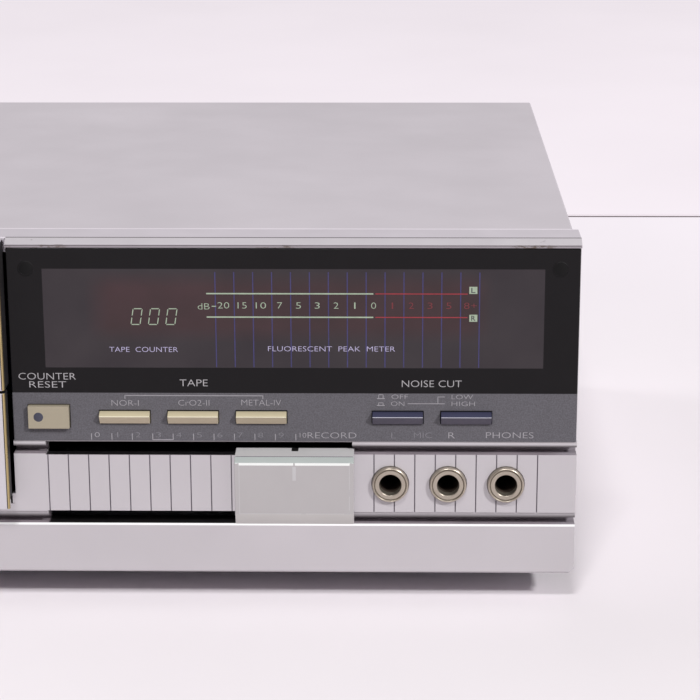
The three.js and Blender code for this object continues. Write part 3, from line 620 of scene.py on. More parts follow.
def write(bm, words, x, z, width, cap, y=0, facing=-1, weight=-0.014):
    """Adds printed words centred at x, z, stretched to a width and a height, on the face at y."""
    curve = bpy.data.curves.new("words", "FONT")
    curve.body = words
    curve.extrude = 0.1
    curve.offset = weight
    curve.resolution_u = 3
    text = bpy.data.objects.new("words", curve)
    bpy.context.scene.collection.objects.link(text)
    bpy.context.view_layer.update()
    mesh = bpy.data.meshes.new_from_object(text.evaluated_get(bpy.context.evaluated_depsgraph_get()))
    xs = [v.co.x for v in mesh.vertices]
    ys = [v.co.y for v in mesh.vertices]
    middle, foot = (min(xs) + max(xs)) / 2, min(ys)
    across = width / (max(xs) - min(xs)) * -facing
    upward = cap / (max(ys) - foot)
    for vert in mesh.vertices:
        u, v, extruded = vert.co
        place = y + facing * (INK if extruded > 0 else -INK)
        vert.co = at(x + (u - middle) * across, place, z + (v - foot) * upward - cap / 2)
    part = bmesh.new()
    part.from_mesh(mesh)
    bmesh.ops.remove_doubles(part, verts=part.verts, dist=1e-6)
    merge(bm, part)
    bpy.data.meshes.remove(mesh)
    bpy.data.objects.remove(text)
    bpy.data.curves.remove(curve)


def print_bar(bm, x0, x1, z0, z1, y=0, facing=-1):
    """Adds a printed bar on the face at y."""
    near, far = sorted((y + facing * INK, y - facing * INK))
    block(bm, x0, x1, near, far, z0, z1)


def screw(bm, slots, centre, axis, outward, radius, rise):
    """Adds a pan-head screw to one mesh, and to another the cross in its head, a dark block painted as
    shade for its recess.
    """
    dome = ((0, 1), (0.55, 0.96), (0.85, 0.7), (1.0, 0.25))
    profile = [(r * radius, along * rise * outward) for r, along in dome]
    profile += [(radius, -0.2 * outward), (0, -0.2 * outward)]
    turn(bm, profile, centre, axis, 24)
    arm, thin = radius * 0.55, radius * 0.13
    deep = sorted((outward * rise * 0.7, outward * (rise + 0.04)))
    for long, short in ((arm, thin), (thin, arm)):
        spans = [(-long, long), (-short, short)]
        spans.insert("XYZ".index(axis), deep)
        sides = [c + offset for c, span in zip(centre, spans) for offset in span]
        block(slots, *sides)


def add_screws(name, places, axis, outward, radius, rise):
    """Adds a piece of screws, and a piece of the crosses in their heads, painted as shade."""
    heads, slots = bmesh.new(), bmesh.new()
    for place in places:
        screw(heads, slots, place, axis, outward, radius, rise)
    add_piece(f"{name}_screws", heads, "screw_black", "rear_paint")
    add_piece(f"{name}_screw_slot_shade", slots, "void_shade", "rear_paint")


# ---- case ----
def paint_fascia(normal, centre):
    """Picks the finish of one of the fascia's faces."""
    panel, edge, ruling, channel, chamfer, lip, upper_lip, lower_lip = range(8)
    diagonal = normal.y < -0.3 and normal.z > 0.3
    # The plinth's top bevel takes the painted highlight.
    if diagonal and centre.z < PLINTH_TOP + 1:
        return edge
    # The upper chamfer takes the lighter silver, painted light.
    if diagonal and centre.z > PLATE[HIGH].z:
        return chamfer
    if centre.z > PLATE[HIGH].z and normal.y < -0.9 and centre.y < 0.1:
        return lip
    in_strip = STRIP[LOW] - 0.6 < centre.z < STRIP[HIGH] + 0.6
    if in_strip and 0.05 < centre.y < 0.4 and abs(normal.z) < 0.5:
        return ruling
    if normal.y < -0.9 and abs(centre.y - 0.4) < 0.1 and centre.z < PLATE[LOW].z:
        return upper_lip if centre.z > STRIP[HIGH] else lower_lip
    # The channels' floors and the gaps' back walls take the painted shade.
    floor = normal.z > 0.7 and 0.1 < centre.y < 5.5 and PLINTH_TOP - 1 < centre.z < STRIP[HIGH] + 1
    gap_back = normal.y < -0.7 and abs(centre.y - 5) < 0.2
    if floor or gap_back:
        return channel
    return panel


def make_fascia():
    looks = ["silver_panel", "plinth_edge_highlight", "ruling_ink", "channel_shade", "upper_chamfer_lit"]
    looks += ["worn_lip", "upper_channel_lip", "lower_channel_lip"]
    refine("fascia", looks, 0.12, 2, 35, paint_fascia)
    left, right = PLATE[LOW].x - 0.3, PANEL_END
    top = node_box("fascia")[HIGH].z
    dark, light = bmesh.new(), bmesh.new()
    joint_front, joint_back, joint_deep = 2.9, 3.6, 0.8  # where the front frame meets the fascia
    block(dark, left, right, joint_front, joint_back, top - joint_deep, top + 0.01)
    under_lip, line = top - 1.68, 0.18
    block(dark, left, right - 0.3, -0.02, 0.1, under_lip, under_lip + line)
    block(light, left - 1, left - 0.3, 0.05, 2.5, SILL[LOW], SILL[HIGH])
    add_piece("top_edge_seams", dark, "seam_shade", "black_plastic")
    add_piece("sill_end", light, "silver_panel")


def make_cover():
    refine("top_cover", "cover_paint", 1.0, 4)
    high = node_box("top_cover")[HIGH]
    ring = [(5.2, 0), (5.0, 0.5), (3.2, 0.7), (3.2, 0)]
    for side, name in ((-1, "left"), (1, "right")):
        places = [(side * high.x, y, z) for y in (70, 170) for z in (22, 80)]
        cups = bmesh.new()
        for place in places:
            turn(cups, [(r, along * side) for r, along in ring], place, "X", 32, True)
        add_piece(f"cover_cups_{name}", cups, "cover_paint")
        add_screws(f"cover_{name}", places, "X", side, radius=2.9, rise=1.5)


def louvre(bm, middle, length, half_height, point):
    """Adds a pressed louvre, a low hood that is long in X; point(x, across, out) places its corners."""
    half, deep, steps = length / 2, 1.1, 6
    taper, end = 2, 0.35
    hood = [(math.cos(math.pi * i / steps), math.sin(math.pi * i / steps)) for i in range(steps + 1)]
    ends = []
    for offset, shrink in ((-half, end), (taper - half, 1), (half - taper, 1), (half, end)):
        corners = [(middle + offset, c * half_height * shrink, s * deep * shrink) for c, s in hood]
        ends.append([bm.verts.new(point(*corner)) for corner in corners])
    for near, far in zip(ends, ends[1:]):
        for i in range(steps + 1):
            j = (i + 1) % (steps + 1)
            bm.faces.new((near[i], near[j], far[j], far[i]))
    bm.faces.new(ends[0])
    bm.faces.new(list(reversed(ends[-1])))


def make_rear():
    """The back: the plate with its louvres, printed legends and screws."""
    refine("rear_panel", "black_paint", 0.3)
    high = node_box("rear_panel")[HIGH]
    y = high.y
    louvres = bmesh.new()
    for column in range(4):
        for row in range(7):
            z = 34 + row * 8
            louvre(louvres, -60 + column * 34, 28, 1.6, lambda x, up, out: at(x, y + out, z + up))
    add_piece("rear_louvres", louvres, "black_paint", "rear_paint")
    sockets, inlet = middle_of("line_sockets"), middle_of("power_inlet")
    words = bmesh.new()
    cap = 2.2
    for text, x, z, width in (
        ("LINE IN", sockets.x + 11, sockets.z + 23.5, 13),
        ("LINE OUT", sockets.x - 11, sockets.z + 23.5, 15),
        ("L", sockets.x - 28, sockets.z + 8, 1.7),
        ("R", sockets.x - 28, sockets.z - 8, 1.9),
        ("AC IN", inlet.x, inlet.z + 15, 10),
    ):
        write(words, text, x, z, width, cap, y, 1)
    across, up, line = 24.5, 20.5, 0.3  # the printed frame round the sockets
    for x0, x1, z0, z1 in (
        (-across, across, up, up + line),
        (-across, line - across, -up, up + line),
        (across - line, across, -up, up + line),
        (-across, across, -up - line, -up),
    ):
        print_bar(words, sockets.x + x0, sockets.x + x1, sockets.z + z0, sockets.z + z1, y, 1)
    add_piece("rear_legends", words, "white_ink", "rear_paint")
    places = [(x, y, z) for x in (-204, -100, 0, 100, 204) for z in (9, high.z - 6)]
    places += [(sockets.x + side * 19, y + 1, sockets.z - side * 14) for side in (-1, 1)]
    places += [(inlet.x + side * 19, y, inlet.z) for side in (-1, 1)]
    add_screws("rear", places, "Y", 1, radius=2.5, rise=1.4)


def make_sockets():
    """Four phono sockets in their block: plated shells, coloured insulators, and holes for the pins."""
    low, high = node_box("line_sockets")
    centre = middle_of("line_sockets")
    front = high.y - 10.6
    base = [(7.2, -0.1), (7.2, 1.4), (6.8, 1.8), (4.4, 1.8), (4.4, -0.1)]
    shell = [(4.1, 0.5), (4.1, 10.2), (3.9, 10.6), (3.5, 10.6), (3.35, 10.3), (3.35, 0.5)]
    insulator = [(0, 2), (1.6, 2), (1.6, 9.2), (1.9, 9.5), (3.1, 9.5), (3.3, 9.2), (3.3, 1), (0, 1)]
    contact = [(0, 2.02), (1.1, 2.02), (1.1, 5.5), (1.5, 5.5), (1.5, 1.6), (0, 1.6)]
    body, shells, bases, white, red, pins = (bmesh.new() for _ in range(6))
    rounded_block(body, low.x, high.x, low.y, front, low.z, high.z, 0.6)
    for column in (-1, 1):
        for row in (-1, 1):
            place = (centre.x + column * 11, front, centre.z + row * 8)
            turn(bases, base, place, "Y", 48, True)
            turn(shells, shell, place, "Y", 48, True)
            turn(white if row > 0 else red, insulator, place, "Y", 40)
            turn(pins, contact, place, "Y", 24)
    add_piece("socket_block", body, "black_plastic", replaced=["line_sockets"])
    add_piece("socket_bases", bases, "black_plastic")
    add_piece("socket_shells", shells, "nickel")
    add_piece("socket_insulators_left", white, "white_plastic", "black_plastic")
    add_piece("socket_insulators_right", red, "red_plastic", "black_plastic")
    add_piece("socket_contacts", pins, "brass", "nickel")


def make_inlet():
    """The mains inlet: its moulding with brass pins, and the two ears of its flange."""

    def paint(normal, centre):
        aside = abs(centre.x - middle.x) < 6 and abs(centre.z - middle.z) < 1.5
        return 1 if aside and centre.y < rear - 1 else 0

    middle = middle_of("power_inlet")
    rear = node_box("rear_panel")[HIGH].y
    refine("power_inlet", ["black_plastic", "brass"], 0.15, 2, 35, paint)
    flange = bmesh.new()
    for x0, x1 in ((-25, -13.2), (13.2, 25)):
        sides = (middle.x + x0, middle.x + x1, rear - 0.1, rear + 1.5)
        rounded_block(flange, *sides, middle.z - 7, middle.z + 7, 0.5)
    add_piece("inlet_flange", flange, "black_plastic")


def make_foot(node):
    """A foot: a tapered body with two turned rings, a rubber sole ring and a sunk screw."""
    low, high = node_box(node)
    x, y, _ = middle_of(node)
    top, sole = high.z, low.z
    outline = [(0, top), (15, top), (15, top - 1.2), (14.6, top - 1.6), (14.9, top - 2.2)]
    outline += [(14.2, sole + 2.2), (12.6, sole + 0.9), (5.5, sole + 0.9)]
    outline += [(4.6, sole + 4), (0, sole + 4)]
    turned_piece(f"{node}_body", outline, (x, y, 0), "Z", 64, "black_plastic", replaced=[node])
    pad = [(12.7, 1.1), (12.4, 0.2), (11.8, 0), (7.4, 0), (6.8, 0.3), (6.6, 1.1)]
    turned_piece(f"{node}_sole", pad, (x, y, sole), "Z", 64, "rubber", closed=True)
    add_screws(node, [(x, y, sole + 4)], "Z", -1, radius=3, rise=1.6)


def make_underside():
    """The pan's pressed louvres and the screws that hold the boards and the cover."""
    refine("chassis_pan", "zinc_steel", 0.6, 3)
    floor = node_box("chassis_pan")[LOW].z
    hoods = bmesh.new()
    for column in range(5):
        for row in range(6):
            middle, y = -120 + column * 48, 84 + row * 12
            louvre(hoods, middle, 34, 2, lambda x, across, out: at(x, y + across, floor - out))
    add_piece("pan_louvres", hoods, "zinc_steel")
    places = [(x, y, floor) for x in (-200, -70, 70, 200) for y in (26, 118, 212)]
    add_screws("pan", places, "Z", -1, radius=2.6, rise=1.3)


# ---- display side ----
def make_plate():
    refine("display_plate", "display_acrylic", 0.2, 2)
    plugs = bmesh.new()
    plug = [(0, -0.05), (1.8, -0.05), (1.95, 0.02), (2.1, 0.02)]
    plug += [(2.15, -0.1), (2.3, -0.02), (2.3, 0.1), (0, 0.1)]
    for x in (56.3, 209.8):
        turn(plugs, plug, (x, 0, 93.4), "Y", 40)
    add_piece("plate_plugs", plugs, "plug_black", "black_plastic")


def make_legends():
    """Everything printed on the plate's black field and grey band."""
    white, pale, worn, lavender = (bmesh.new() for _ in range(4))
    counter, phones = middle_of("counter_button").x, middle_of("phones_jack").x
    mic_left, mic_right = middle_of("mic_jack_left").x, middle_of("mic_jack_right").x
    tape = [middle_of(f"tape_button_{number}").x for number in (1, 2, 3)]
    noise_1, noise_2 = (middle_of(f"nr_button_{number}").x for number in (1, 2))
    write(white, "COUNTER", counter - 0.1, 61.1, 16.7, 2.0)
    write(white, "RESET", counter, 58.6, 10.8, 1.9)
    write(white, "TAPE", 103.9, 59.2, 8.2, 2.0)
    write(white, "NOISE CUT", 173.2, 59.1, 17.4, 2.0)
    write(lavender, "TAPE  COUNTER", 89.6, 69.3, 19.9, 1.5)
    write(lavender, "FLUORESCENT  PEAK  METER", 144.1, 69.6, 36.8, 1.5)

    write(pale, "NOR-I", tape[0] + 0.2, 53.0, 8.0, 1.75)
    write(pale, "CrO2-II", tape[1] + 0.3, 53.1, 9.1, 1.75)
    write(pale, "METAL-IV", tape[2], 53.2, 11.6, 1.75)
    start, end, level, half = tape[0] + 0.2, tape[2] + 0.5, 55.3, 0.12  # the bracket over the three
    print_bar(pale, start, end, level - half, level + half)
    for x in (start, end):
        print_bar(pale, x - half, x + half, level - 1.0, level + half)

    off_z, on_z = 55.1, 53.0
    write(pale, "OFF", noise_1 + 0.6, off_z, 4.8, 1.36)
    write(pale, "ON", noise_1, on_z, 3.9, 1.36)
    write(pale, "LOW", noise_2 - 1.2, off_z, 6.2, 1.36)
    write(pale, "HIGH", noise_2 - 0.9, on_z, 6.8, 1.36)
    branch = noise_1 + 11.7
    print_bar(pale, noise_1 + 2.9, branch + 2, on_z - 0.1, on_z + 0.1)
    print_bar(pale, branch, branch + 2, off_z - 0.1, off_z + 0.1)
    print_bar(pale, branch - 0.1, branch + 0.1, on_z, off_z + 0.1)
    icon_x = noise_1 - 4.9
    for z, top in ((off_z, 0.75), (on_z, 0.35)):
        print_bar(pale, icon_x - 1.15, icon_x + 1.15, z - 0.68, z - 0.45)
        print_bar(pale, icon_x - 0.75, icon_x + 0.75, z + top - 0.2, z + top)
        for side in (-1, 1):
            x = icon_x + side * 0.65
            print_bar(pale, x - 0.1, x + 0.1, z - 0.45, z + top)

    write(pale, "RECORD", 144.1, 43.2, 14.3, 1.8)
    write(pale, "PHONES", phones + 0.9, 43.4, 13.9, 1.8)
    write(worn, "L", mic_left + 1, 43.2, 1.5, 1.7)
    write(worn, "MIC", (mic_left + mic_right) / 2 + 1, 43.3, 5.2, 1.7)
    write(pale, "R", mic_right + 0.9, 43.3, 1.9, 1.8)

    scale_start, scale_step = 73.5, 6
    for number in range(11):
        x = scale_start + number * scale_step
        print_bar(pale, x - half, x + half, 41.6, 43.6)
        mesh = pale if number in (0, 10) else worn
        aside, width = {1: (1.7, 0.35), 10: (2.1, 1.9)}.get(number, (1.7, 1.5))
        write(mesh, str(number), x + aside, 43.2, width, 1.5)
    print_bar(pale, scale_start + 3 * scale_step, scale_start + 4 * scale_step, 41.6, 41.85)
    add_piece("legends_white", white, "white_ink", "black_acrylic")
    add_piece("legends_window", lavender, "lavender_ink", "black_acrylic")
    add_piece("legends_pale", pale, "pale_ink", "black_acrylic")
    add_piece("legends_worn", worn, "worn_ink", "black_acrylic")


def make_digits(green):
    """Three slanted zeros of the tape counter, each six segments of a seven-segment digit."""
    wide, high, stroke, slant = 2.9, 5.0, 0.28, 0.16
    gap, bevel_across, bevel_up = 0.25, 0.2, 0.15
    first, step, foot = 86.0, 5.03, 76.7
    half = high / 2
    bars = []
    for level, inner in ((0, stroke), (high, -stroke)):
        left, right = gap, wide - gap
        bars.append([(left, level), (right, level)])
        bars[-1] += [(right - bevel_across, level + inner), (left + bevel_across, level + inner)]
    for side, inner in ((0, stroke), (wide, -stroke)):
        for start in (0, half):
            base, top = start + gap, start + half - gap
            bars.append([(side, base), (side + inner, base + bevel_up)])
            bars[-1] += [(side + inner, top - bevel_up), (side, top)]
    for digit in range(3):
        x = first + digit * step
        for outline in bars:
            prism(green, [(x + u + v * slant, foot + v) for u, v in outline], -INK, INK)


def make_meter():
    """The meter's scale: green and red numerals and bars, blue graduations and the channel marks."""
    green, red, dim, blue, marks = (bmesh.new() for _ in range(5))
    make_digits(green)
    first, step, level, cap = 113.0, 5.41, 82.6, 1.85
    widths = {"20": 3.35, "15": 2.6, "10": 2.95, "1": 0.4, "8+": 3.7}
    write(green, "dB", 107.3, 82.3, 3.4, 1.8)
    print_bar(green, 109.6, 110.9, 82.2, 82.45)
    for number, words in enumerate("20 15 10 7 5 3 2 1 0 1 2 3 5 8+".split()):
        x = first + number * step + (0.8 if words == "8+" else 0)
        write(green if number < 9 else dim, words, x, level, widths.get(words, 1.45), cap)
    for z in (86.1, 79.1):
        print_bar(green, 108.1, 156.2, z - 0.2, z + 0.2)
        print_bar(red, 156.8, 183.3, z - 0.15, z + 0.15)
    for x, z, words in ((184.9, 87.2, "L"), (185.0, 78.9, "R")):
        print_bar(green, x - 1.15, x + 1.15, z - 1.05, z + 1.05)
        write(marks, words, x, z, 1.2, 1.5, -INK, weight=0.01)
    for number in range(15):
        x = 110.7 + number * 5.43
        print_bar(blue, x - 0.15, x + 0.15, SMOKE["z0"] + 0.2, SMOKE["z1"] - 0.9, INK / 2)
    for name, mesh, look in (
        ("meter_green_marks", green, "meter_green"),
        ("meter_red_marks", red, "meter_red"),
        ("meter_red_numerals", dim, "meter_dim_red"),
        ("meter_blue_lines", blue, "meter_blue"),
        ("channel_letters", marks, "dark_ink"),
    ):
        add_piece(name, mesh, look, "meter_glass")


def make_buttons():
    """The push buttons, each two facets with the lower one painted shade and a painted highlight on the
    ridge between them, a painted shade line above each, and the counter's square cap.
    """
    gaps = bmesh.new()
    for node in ("tape_button_1", "tape_button_2", "tape_button_3", "nr_button_1", "nr_button_2"):
        looks, ridge_width = ["beige_upper", "beige_lower", "beige_ridge_highlight"], 0.2
        if node.startswith("nr"):
            looks, ridge_width = ["slate_plastic", "slate_lower_shade", "slate_ridge_highlight"], 0.12
        bm = node_mesh(node)
        low, high = node_box(node)
        for face in bm.faces:
            # The lower facet takes the darker copy, painted shade.
            face.material_index = 1 if face.normal.z < -0.1 and face.normal.y < -0.1 else 0
        ridge = [e for e in bm.edges if all(abs(to_mm(v.co).y - low.y) < 0.02 for v in e.verts)]
        # The ridge's bevel takes the painted highlight.
        soften(bm, ridge_width, 2, edges=ridge, paint_slot=2)
        soften(bm, 0.1, 2, 50)
        add_piece(f"{node}_body", bm, looks, SLOT_OF[node], body_of(node), [node])
        # A dark line painted as shade above each button.
        print_bar(gaps, low.x - 0.2, high.x + 0.2, high.z + 0.05, high.z + 0.4)
    add_piece("button_gap_shade", gaps, "void_shade", "black_plastic")
    refine("counter_button", "beige_cap", 0.12, 2)
    low, middle = node_box("counter_button")[LOW], middle_of("counter_button")
    dot = [(0, -0.05), (1.3, -0.05), (1.45, 0.02), (1.45, 0.3), (0, 0.3)]
    place = (low.x + 3.05, low.y, middle.z + 0.15)
    turned_piece("counter_dot", dot, place, "Y", 40, "slate_dot", "slate_plastic", "counter_reset")


def paint_knob(normal, centre):
    """Picks the finish of one of the slider's faces: the top and lower bevel painted lighter, as light
    through the clear cap, and the faces behind the cap, in the slot, painted shade.
    """
    face, edge, green, dark, upper, foot = range(6)
    # The faces behind the cap, in the slot: painted shade.
    if centre.y > 2.35 or (centre.y > 0.5 and normal.y < -0.5):
        return dark
    if normal.z > 0.9:
        return upper
    if centre.y > -0.3:
        return edge
    if normal.y < -0.3 and normal.z > 0.3:
        return green
    if normal.y < -0.85 and normal.z < -0.2:
        return foot
    return face if normal.y < -0.9 else edge


def make_knob():
    """The slider's clear cap over a silver base, drawn opaque with painted light and shade. Light goes
    through the cap, so it throws no shadow.
    """
    looks = ["knob_face", "knob_edge", "knob_green", "void_shade", "knob_top_lit", "knob_lower_bevel_lit"]
    cap = refine("record_knob", looks, 0.15, 2, 35, paint_knob)
    low, high = node_box("record_knob")
    front, top, middle = low.y, high.z, (low.x + high.x) / 2
    left, right, deep = low.x + 1.25, high.x - 1.25, front + 0.1
    gap, line, proud, foot, ledge = 0.25, 0.14, 0.02, 21.2, top - 1.5
    bright, border, dark, brow = (bmesh.new() for _ in range(4))
    # A painted highlight line across the face, broken at the pointer.
    for start, end in ((left, middle - gap), (middle + gap, right)):
        block(bright, start, end, front - proud, deep, ledge - 0.75, ledge)
    # Lighter strips of painted sheen at the sides and foot, and the pointer in the same tone.
    for start in (left, right - line):
        block(border, start, start + line, front - proud * 1.5, deep, foot, ledge - 0.8)
    block(border, left, right, front - proud, deep, foot, foot + line)
    block(border, middle - 0.5, middle + 0.5, front - proud, deep, 31.6, ledge - 1.2)
    # The notch: a dark block painted as shade.
    block(dark, middle - 1, middle + 1, -0.7, 2.25, top - 0.4, top + proud)
    seam = (front + 1.35, front + 1.65, top - 0.2, top + proud / 2)
    block(brow, low.x + 0.3, high.x - 0.3, *seam)
    cap.visible_shadow = False
    for name, mesh, look in (
        ("knob_highlight", bright, "knob_highlight_paint"),
        ("knob_border_sheen", border, "knob_sheen_and_pointer"),
        ("knob_seam", brow, "ruling_ink"),
    ):
        add_piece(name, mesh, look, "clear_acrylic", "record_slider").visible_shadow = False
    add_piece("knob_notch", dark, "void_shade", "black_plastic", "record_slider")


def make_jacks():
    """Plated jacks: a domed nut round a rolled bushing, a ring of painted shade in the groove between
    them, and a black bore behind.
    """
    dome = [(4.62, 3.4), (4.62, -1.1), (4.72, -1.4), (4.9, -1.55)]
    dome += [(5.1, -1.52), (5.3, -1.3), (5.42, -0.9), (5.45, 3.4)]
    lip = [(4.55, 7), (4.55, -1.1), (4.45, -1.28)]
    steps, roll_out, roll_along = 5, 0.3, 0.4
    for i in range(steps + 1):
        angle = math.pi / 2 * i / steps
        lip.append((3.5 - roll_out * math.sin(angle), -0.95 - roll_along * math.cos(angle)))
    lip += [(3.2, 7)]
    groove = [(4.7, -1.05), (4.7, -0.9), (4.5, -0.9), (4.5, -1.05)]
    bore = [(0, 26), (3.15, 26), (3.15, 1.5), (3.18, 1.5)]
    bore += [(3.18, 7.3), (3.4, 7.5), (3.4, 26.4), (0, 26.4)]
    for node in ("mic_jack_left", "mic_jack_right", "phones_jack"):
        nut = node.replace("jack", "jack_nut")
        x, _, z = middle_of(nut)
        place = (x, 0, z)
        turned_piece(f"{nut}_body", dome, place, "Y", 96, "nickel", replaced=[nut], closed=True)
        turned_piece(f"{node}_bushing", lip, place, "Y", 96, "nickel", closed=True)
        # A darker ring, painted shade in the groove between the nut and the bushing.
        turned_piece(f"{node}_groove", groove, place, "Y", 64, "groove_shade", "nickel", closed=True)
        turned_piece(f"{node}_bore", bore, place, "Y", 48, "bore_brown", "black_plastic")
        low, high = node_box(node)
        case = bmesh.new()
        room, front, bore_end = 3.5, 7.5, 26.5
        for x0, x1 in ((low.x, x - room), (x + room, high.x)):
            rounded_block(case, x0, x1, front, high.y, low.z, high.z, 0.4)
        rounded_block(case, x - room, x + room, bore_end, high.y, low.z, high.z, 0.3)
        add_piece(f"{node}_case", case, "black_plastic", replaced=[node])


# ---- transport side ----
def paint_module(normal, centre):
    """The raised plates: a silver face, gilt upright chamfers, and painted shade on the sides that face
    the gaps and on the faces of the split.
    """
    face, gilt, side = range(3)
    if normal.y < -0.4 and abs(normal.x) > 0.4:
        return gilt
    # Sides that face the gaps: painted shade.
    if abs(normal.x) > 0.9 and centre.y < 3 and dark_side(centre.x):
        return side
    # The faces of the split: painted shade.
    if abs(normal.z) > 0.9 and abs(centre.z - SPLIT_Z) < 1:
        return side
    return face


def dark_side(x):
    """True at the sides that face the door's gaps or the display, not at the deck's own left end."""
    low, high = node_box("door_frame")
    edges = (low.x, high.x, node_box("transport_panel")[HIGH].x)
    return min(abs(x - edge) for edge in edges) < 0.2


def make_module():
    """The transport side's plates, with fine dark lines beside their gilt chamfers."""
    for node in ("door_frame", "door_lower_plate", "transport_panel"):
        refine(node, ["module_panel", "gilt_edge", "module_gap_shade"], 0.12, 2, 50, paint_module)
        low, high = node_box(node)
        lines = bmesh.new()
        inset, half = 0.74, 0.13
        for x in (low.x + inset, high.x - inset):
            block(lines, x - half, x + half, low.y - 0.02, low.y + 0.1, low.z + 0.2, high.z - 0.2)
        add_piece(f"{node}_lines", lines, "brown_line", "black_plastic", body_of(node))
    low, high = node_box("transport_panel")
    seam, cheek = bmesh.new(), bmesh.new()
    half = 0.39
    # The seam: a dark block painted as shade in its groove.
    block(seam, low.x + 1, high.x - 1, low.y + 0.5, low.y + 0.82, SPLIT_Z - half, SPLIT_Z + half)
    add_piece("panel_seam", seam, "void_shade", "black_plastic")
    slot_back, slot_floor, slot_top = 7.05, 20.4, 97.3  # the frame's open slot at the deck's left end
    block(cheek, low.x, low.x + 0.9, high.y + 0.05, slot_back, slot_floor, slot_top)
    add_piece("left_cheek", cheek, "module_panel", "silver_panel")


def triangle(x, z, size, direction):
    base, tip = x - direction * size * 0.45, x + direction * size * 0.55
    return [(base, z - size * 0.5), (tip, z), (base, z + size * 0.5)]


def bar(x, z, width, height):
    half, up = width / 2, height / 2
    return [(x - half, z - up), (x + half, z - up), (x + half, z + up), (x - half, z + up)]


def key_symbols(x, z):
    size = 3.4
    eject = [(x - 1.9, z - 0.4), (x + 1.9, z - 0.4), (x, z + 1.7)]
    return {
        "key_record": [circle(x, z, 1.7)],
        "key_pause": [bar(x - 0.95, z, 0.9, size), bar(x + 0.95, z, 0.9, size)],
        "key_stop": [bar(x, z, size * 0.9, size * 0.9)],
        "key_rewind": [triangle(x - 1.6, z, size, -1), triangle(x + 1.6, z, size, -1)],
        "key_play": [triangle(x, z, size * 1.1, 1)],
        "key_forward": [triangle(x - 1.6, z, size, 1), triangle(x + 1.6, z, size, 1)],
        "key_eject": [eject, bar(x, z - 1.2, 3.8, 0.7)],
    }


def make_keys():
    """The light-touch keys, each with its symbol and a fine line along its upper edge."""
    for node in key_symbols(0, 0):
        refine(node, "key_silver", 0.5, 4, 50)
        low, high = node_box(node)
        x, _, z = middle_of(node)
        signs, line = bmesh.new(), bmesh.new()
        for outline in key_symbols(x, z)[node]:
            prism(signs, outline, low.y - INK, low.y + INK)
        ink = "meter_red" if node == "key_record" else "dark_ink"
        add_piece(f"{node}_symbol", signs, ink, "key_silver", body_of(node))
        print_bar(line, low.x + 1.5, high.x - 1.5, high.z - 1.6, high.z - 1.4, low.y)
        add_piece(f"{node}_line", line, "dark_ink", "key_silver", body_of(node))
    refine("power_button", "key_silver", 0.5, 4, 50)
    refine("timer_knob", "beige_lower", 0.3, 3, 50)
    low, high = node_box("timer_knob")
    x = (low.x + high.x) / 2
    mark = bmesh.new()
    print_bar(mark, x - 0.2, x + 0.2, low.z + 0.6, high.z - 0.6, low.y)
    add_piece("timer_knob_mark", mark, "dark_ink", "beige_plastic", body_of("timer_knob"))


def make_controls():
    """The left-hand insets and their legends."""
    refine("control_insert", "black_acrylic", 0.15, 2)
    refine("key_surround", "grey_band", 0.15, 2)
    low, high = node_box("control_insert")
    power, timer, eject = (middle_of(node) for node in ("power_button", "timer_knob", "key_eject"))
    words = bmesh.new()
    for text, x, z, width, cap in (
        ("POWER", power.x, power.z + 9.5, 11.5, 1.9),
        ("ON", power.x - 14.4, power.z - 2.2, 3.6, 1.36),
        ("OFF", power.x - 14.2, power.z + 2.2, 4.6, 1.36),
        ("TIMER", timer.x, timer.z + 8.6, 9.8, 1.9),
        ("REC", timer.x - 8, timer.z + 5.2, 4.6, 1.36),
        ("OFF", timer.x, timer.z + 5.2, 4.6, 1.36),
        ("PLAY", timer.x + 8, timer.z + 5.2, 4.6, 1.36),
        ("EJECT", eject.x, eject.z + 7.6, 9.4, 1.9),
    ):
        write(words, text, x, z, width, cap, low.y)
    print_bar(words, low.x + 6, high.x - 6, high.z - 4.6, high.z - 4.4, low.y)
    add_piece("control_legends", words, "white_ink", "black_acrylic")


def make_door_window():
    refine("door_window", "smoke_acrylic", 0.15, 2)
    low, high = node_box("door_window")
    border, words = bmesh.new(), bmesh.new()
    line = 0.25
    x0, x1, z0, z1 = low.x + 5, high.x - 5, low.z + 4.6, high.z - 4.6
    for sides in (
        (x0, x1, z0, z0 + line),
        (x0, x1, z1 - line, z1),
        (x0, x0 + line, z0, z1),
        (x1 - line, x1, z0, z1),
    ):
        print_bar(border, *sides, low.y)
    add_piece("window_border", border, "pale_ink", "black_acrylic", "door")
    for number in range(6):
        x = middle_of("door_window").x - 12.5 + number * 5
        print_bar(words, x - 0.12, x + 0.12, z0 + 1.4, z0 + 3.0, low.y)
        text = str(number * 20)
        write(words, text, x, z0 + 4.2, 1.0 + 0.9 * (len(text) - 1), 1.2, low.y)
    add_piece("tape_scale", words, "pale_ink", "black_acrylic", "door")


def make_spindle(node, body):
    """A reel spindle: a hub with three ribbed splines and a domed tip, on its turntable."""
    x, _, z = middle_of(node)
    hub = [(0, 3.4), (0.8, 3.5), (1.5, 3.9), (2.4, 5.2), (3.1, 6.5), (3.1, 14.8)]
    hub += [(8, 14.8), (8.2, 14.4), (8.6, 14.4), (8.8, 14.8), (12.2, 14.8)]
    hub += [(12.5, 15.1), (12.5, 18.1), (12.2, 18.4), (3, 18.4), (3, 26), (0, 26)]
    turned_piece(f"{node}_hub", hub, (x, 0, z), "Y", 72, "black_plastic", body=body, replaced=[node])
    splines = bmesh.new()
    axle = Matrix.Translation(at(x, 0, z))
    for i in range(3):
        rib = bmesh.new()
        rounded_block(rib, x - 0.55, x + 0.55, 6, 14.9, z + 2, z + 4.25, 0.3)
        spin = axle @ Matrix.Rotation(2 * math.pi * i / 3, 4, "Y") @ axle.inverted()
        bmesh.ops.transform(rib, matrix=spin, verts=rib.verts)
        merge(splines, rib)
    add_piece(f"{node}_splines", splines, "white_plastic", "black_plastic", body)


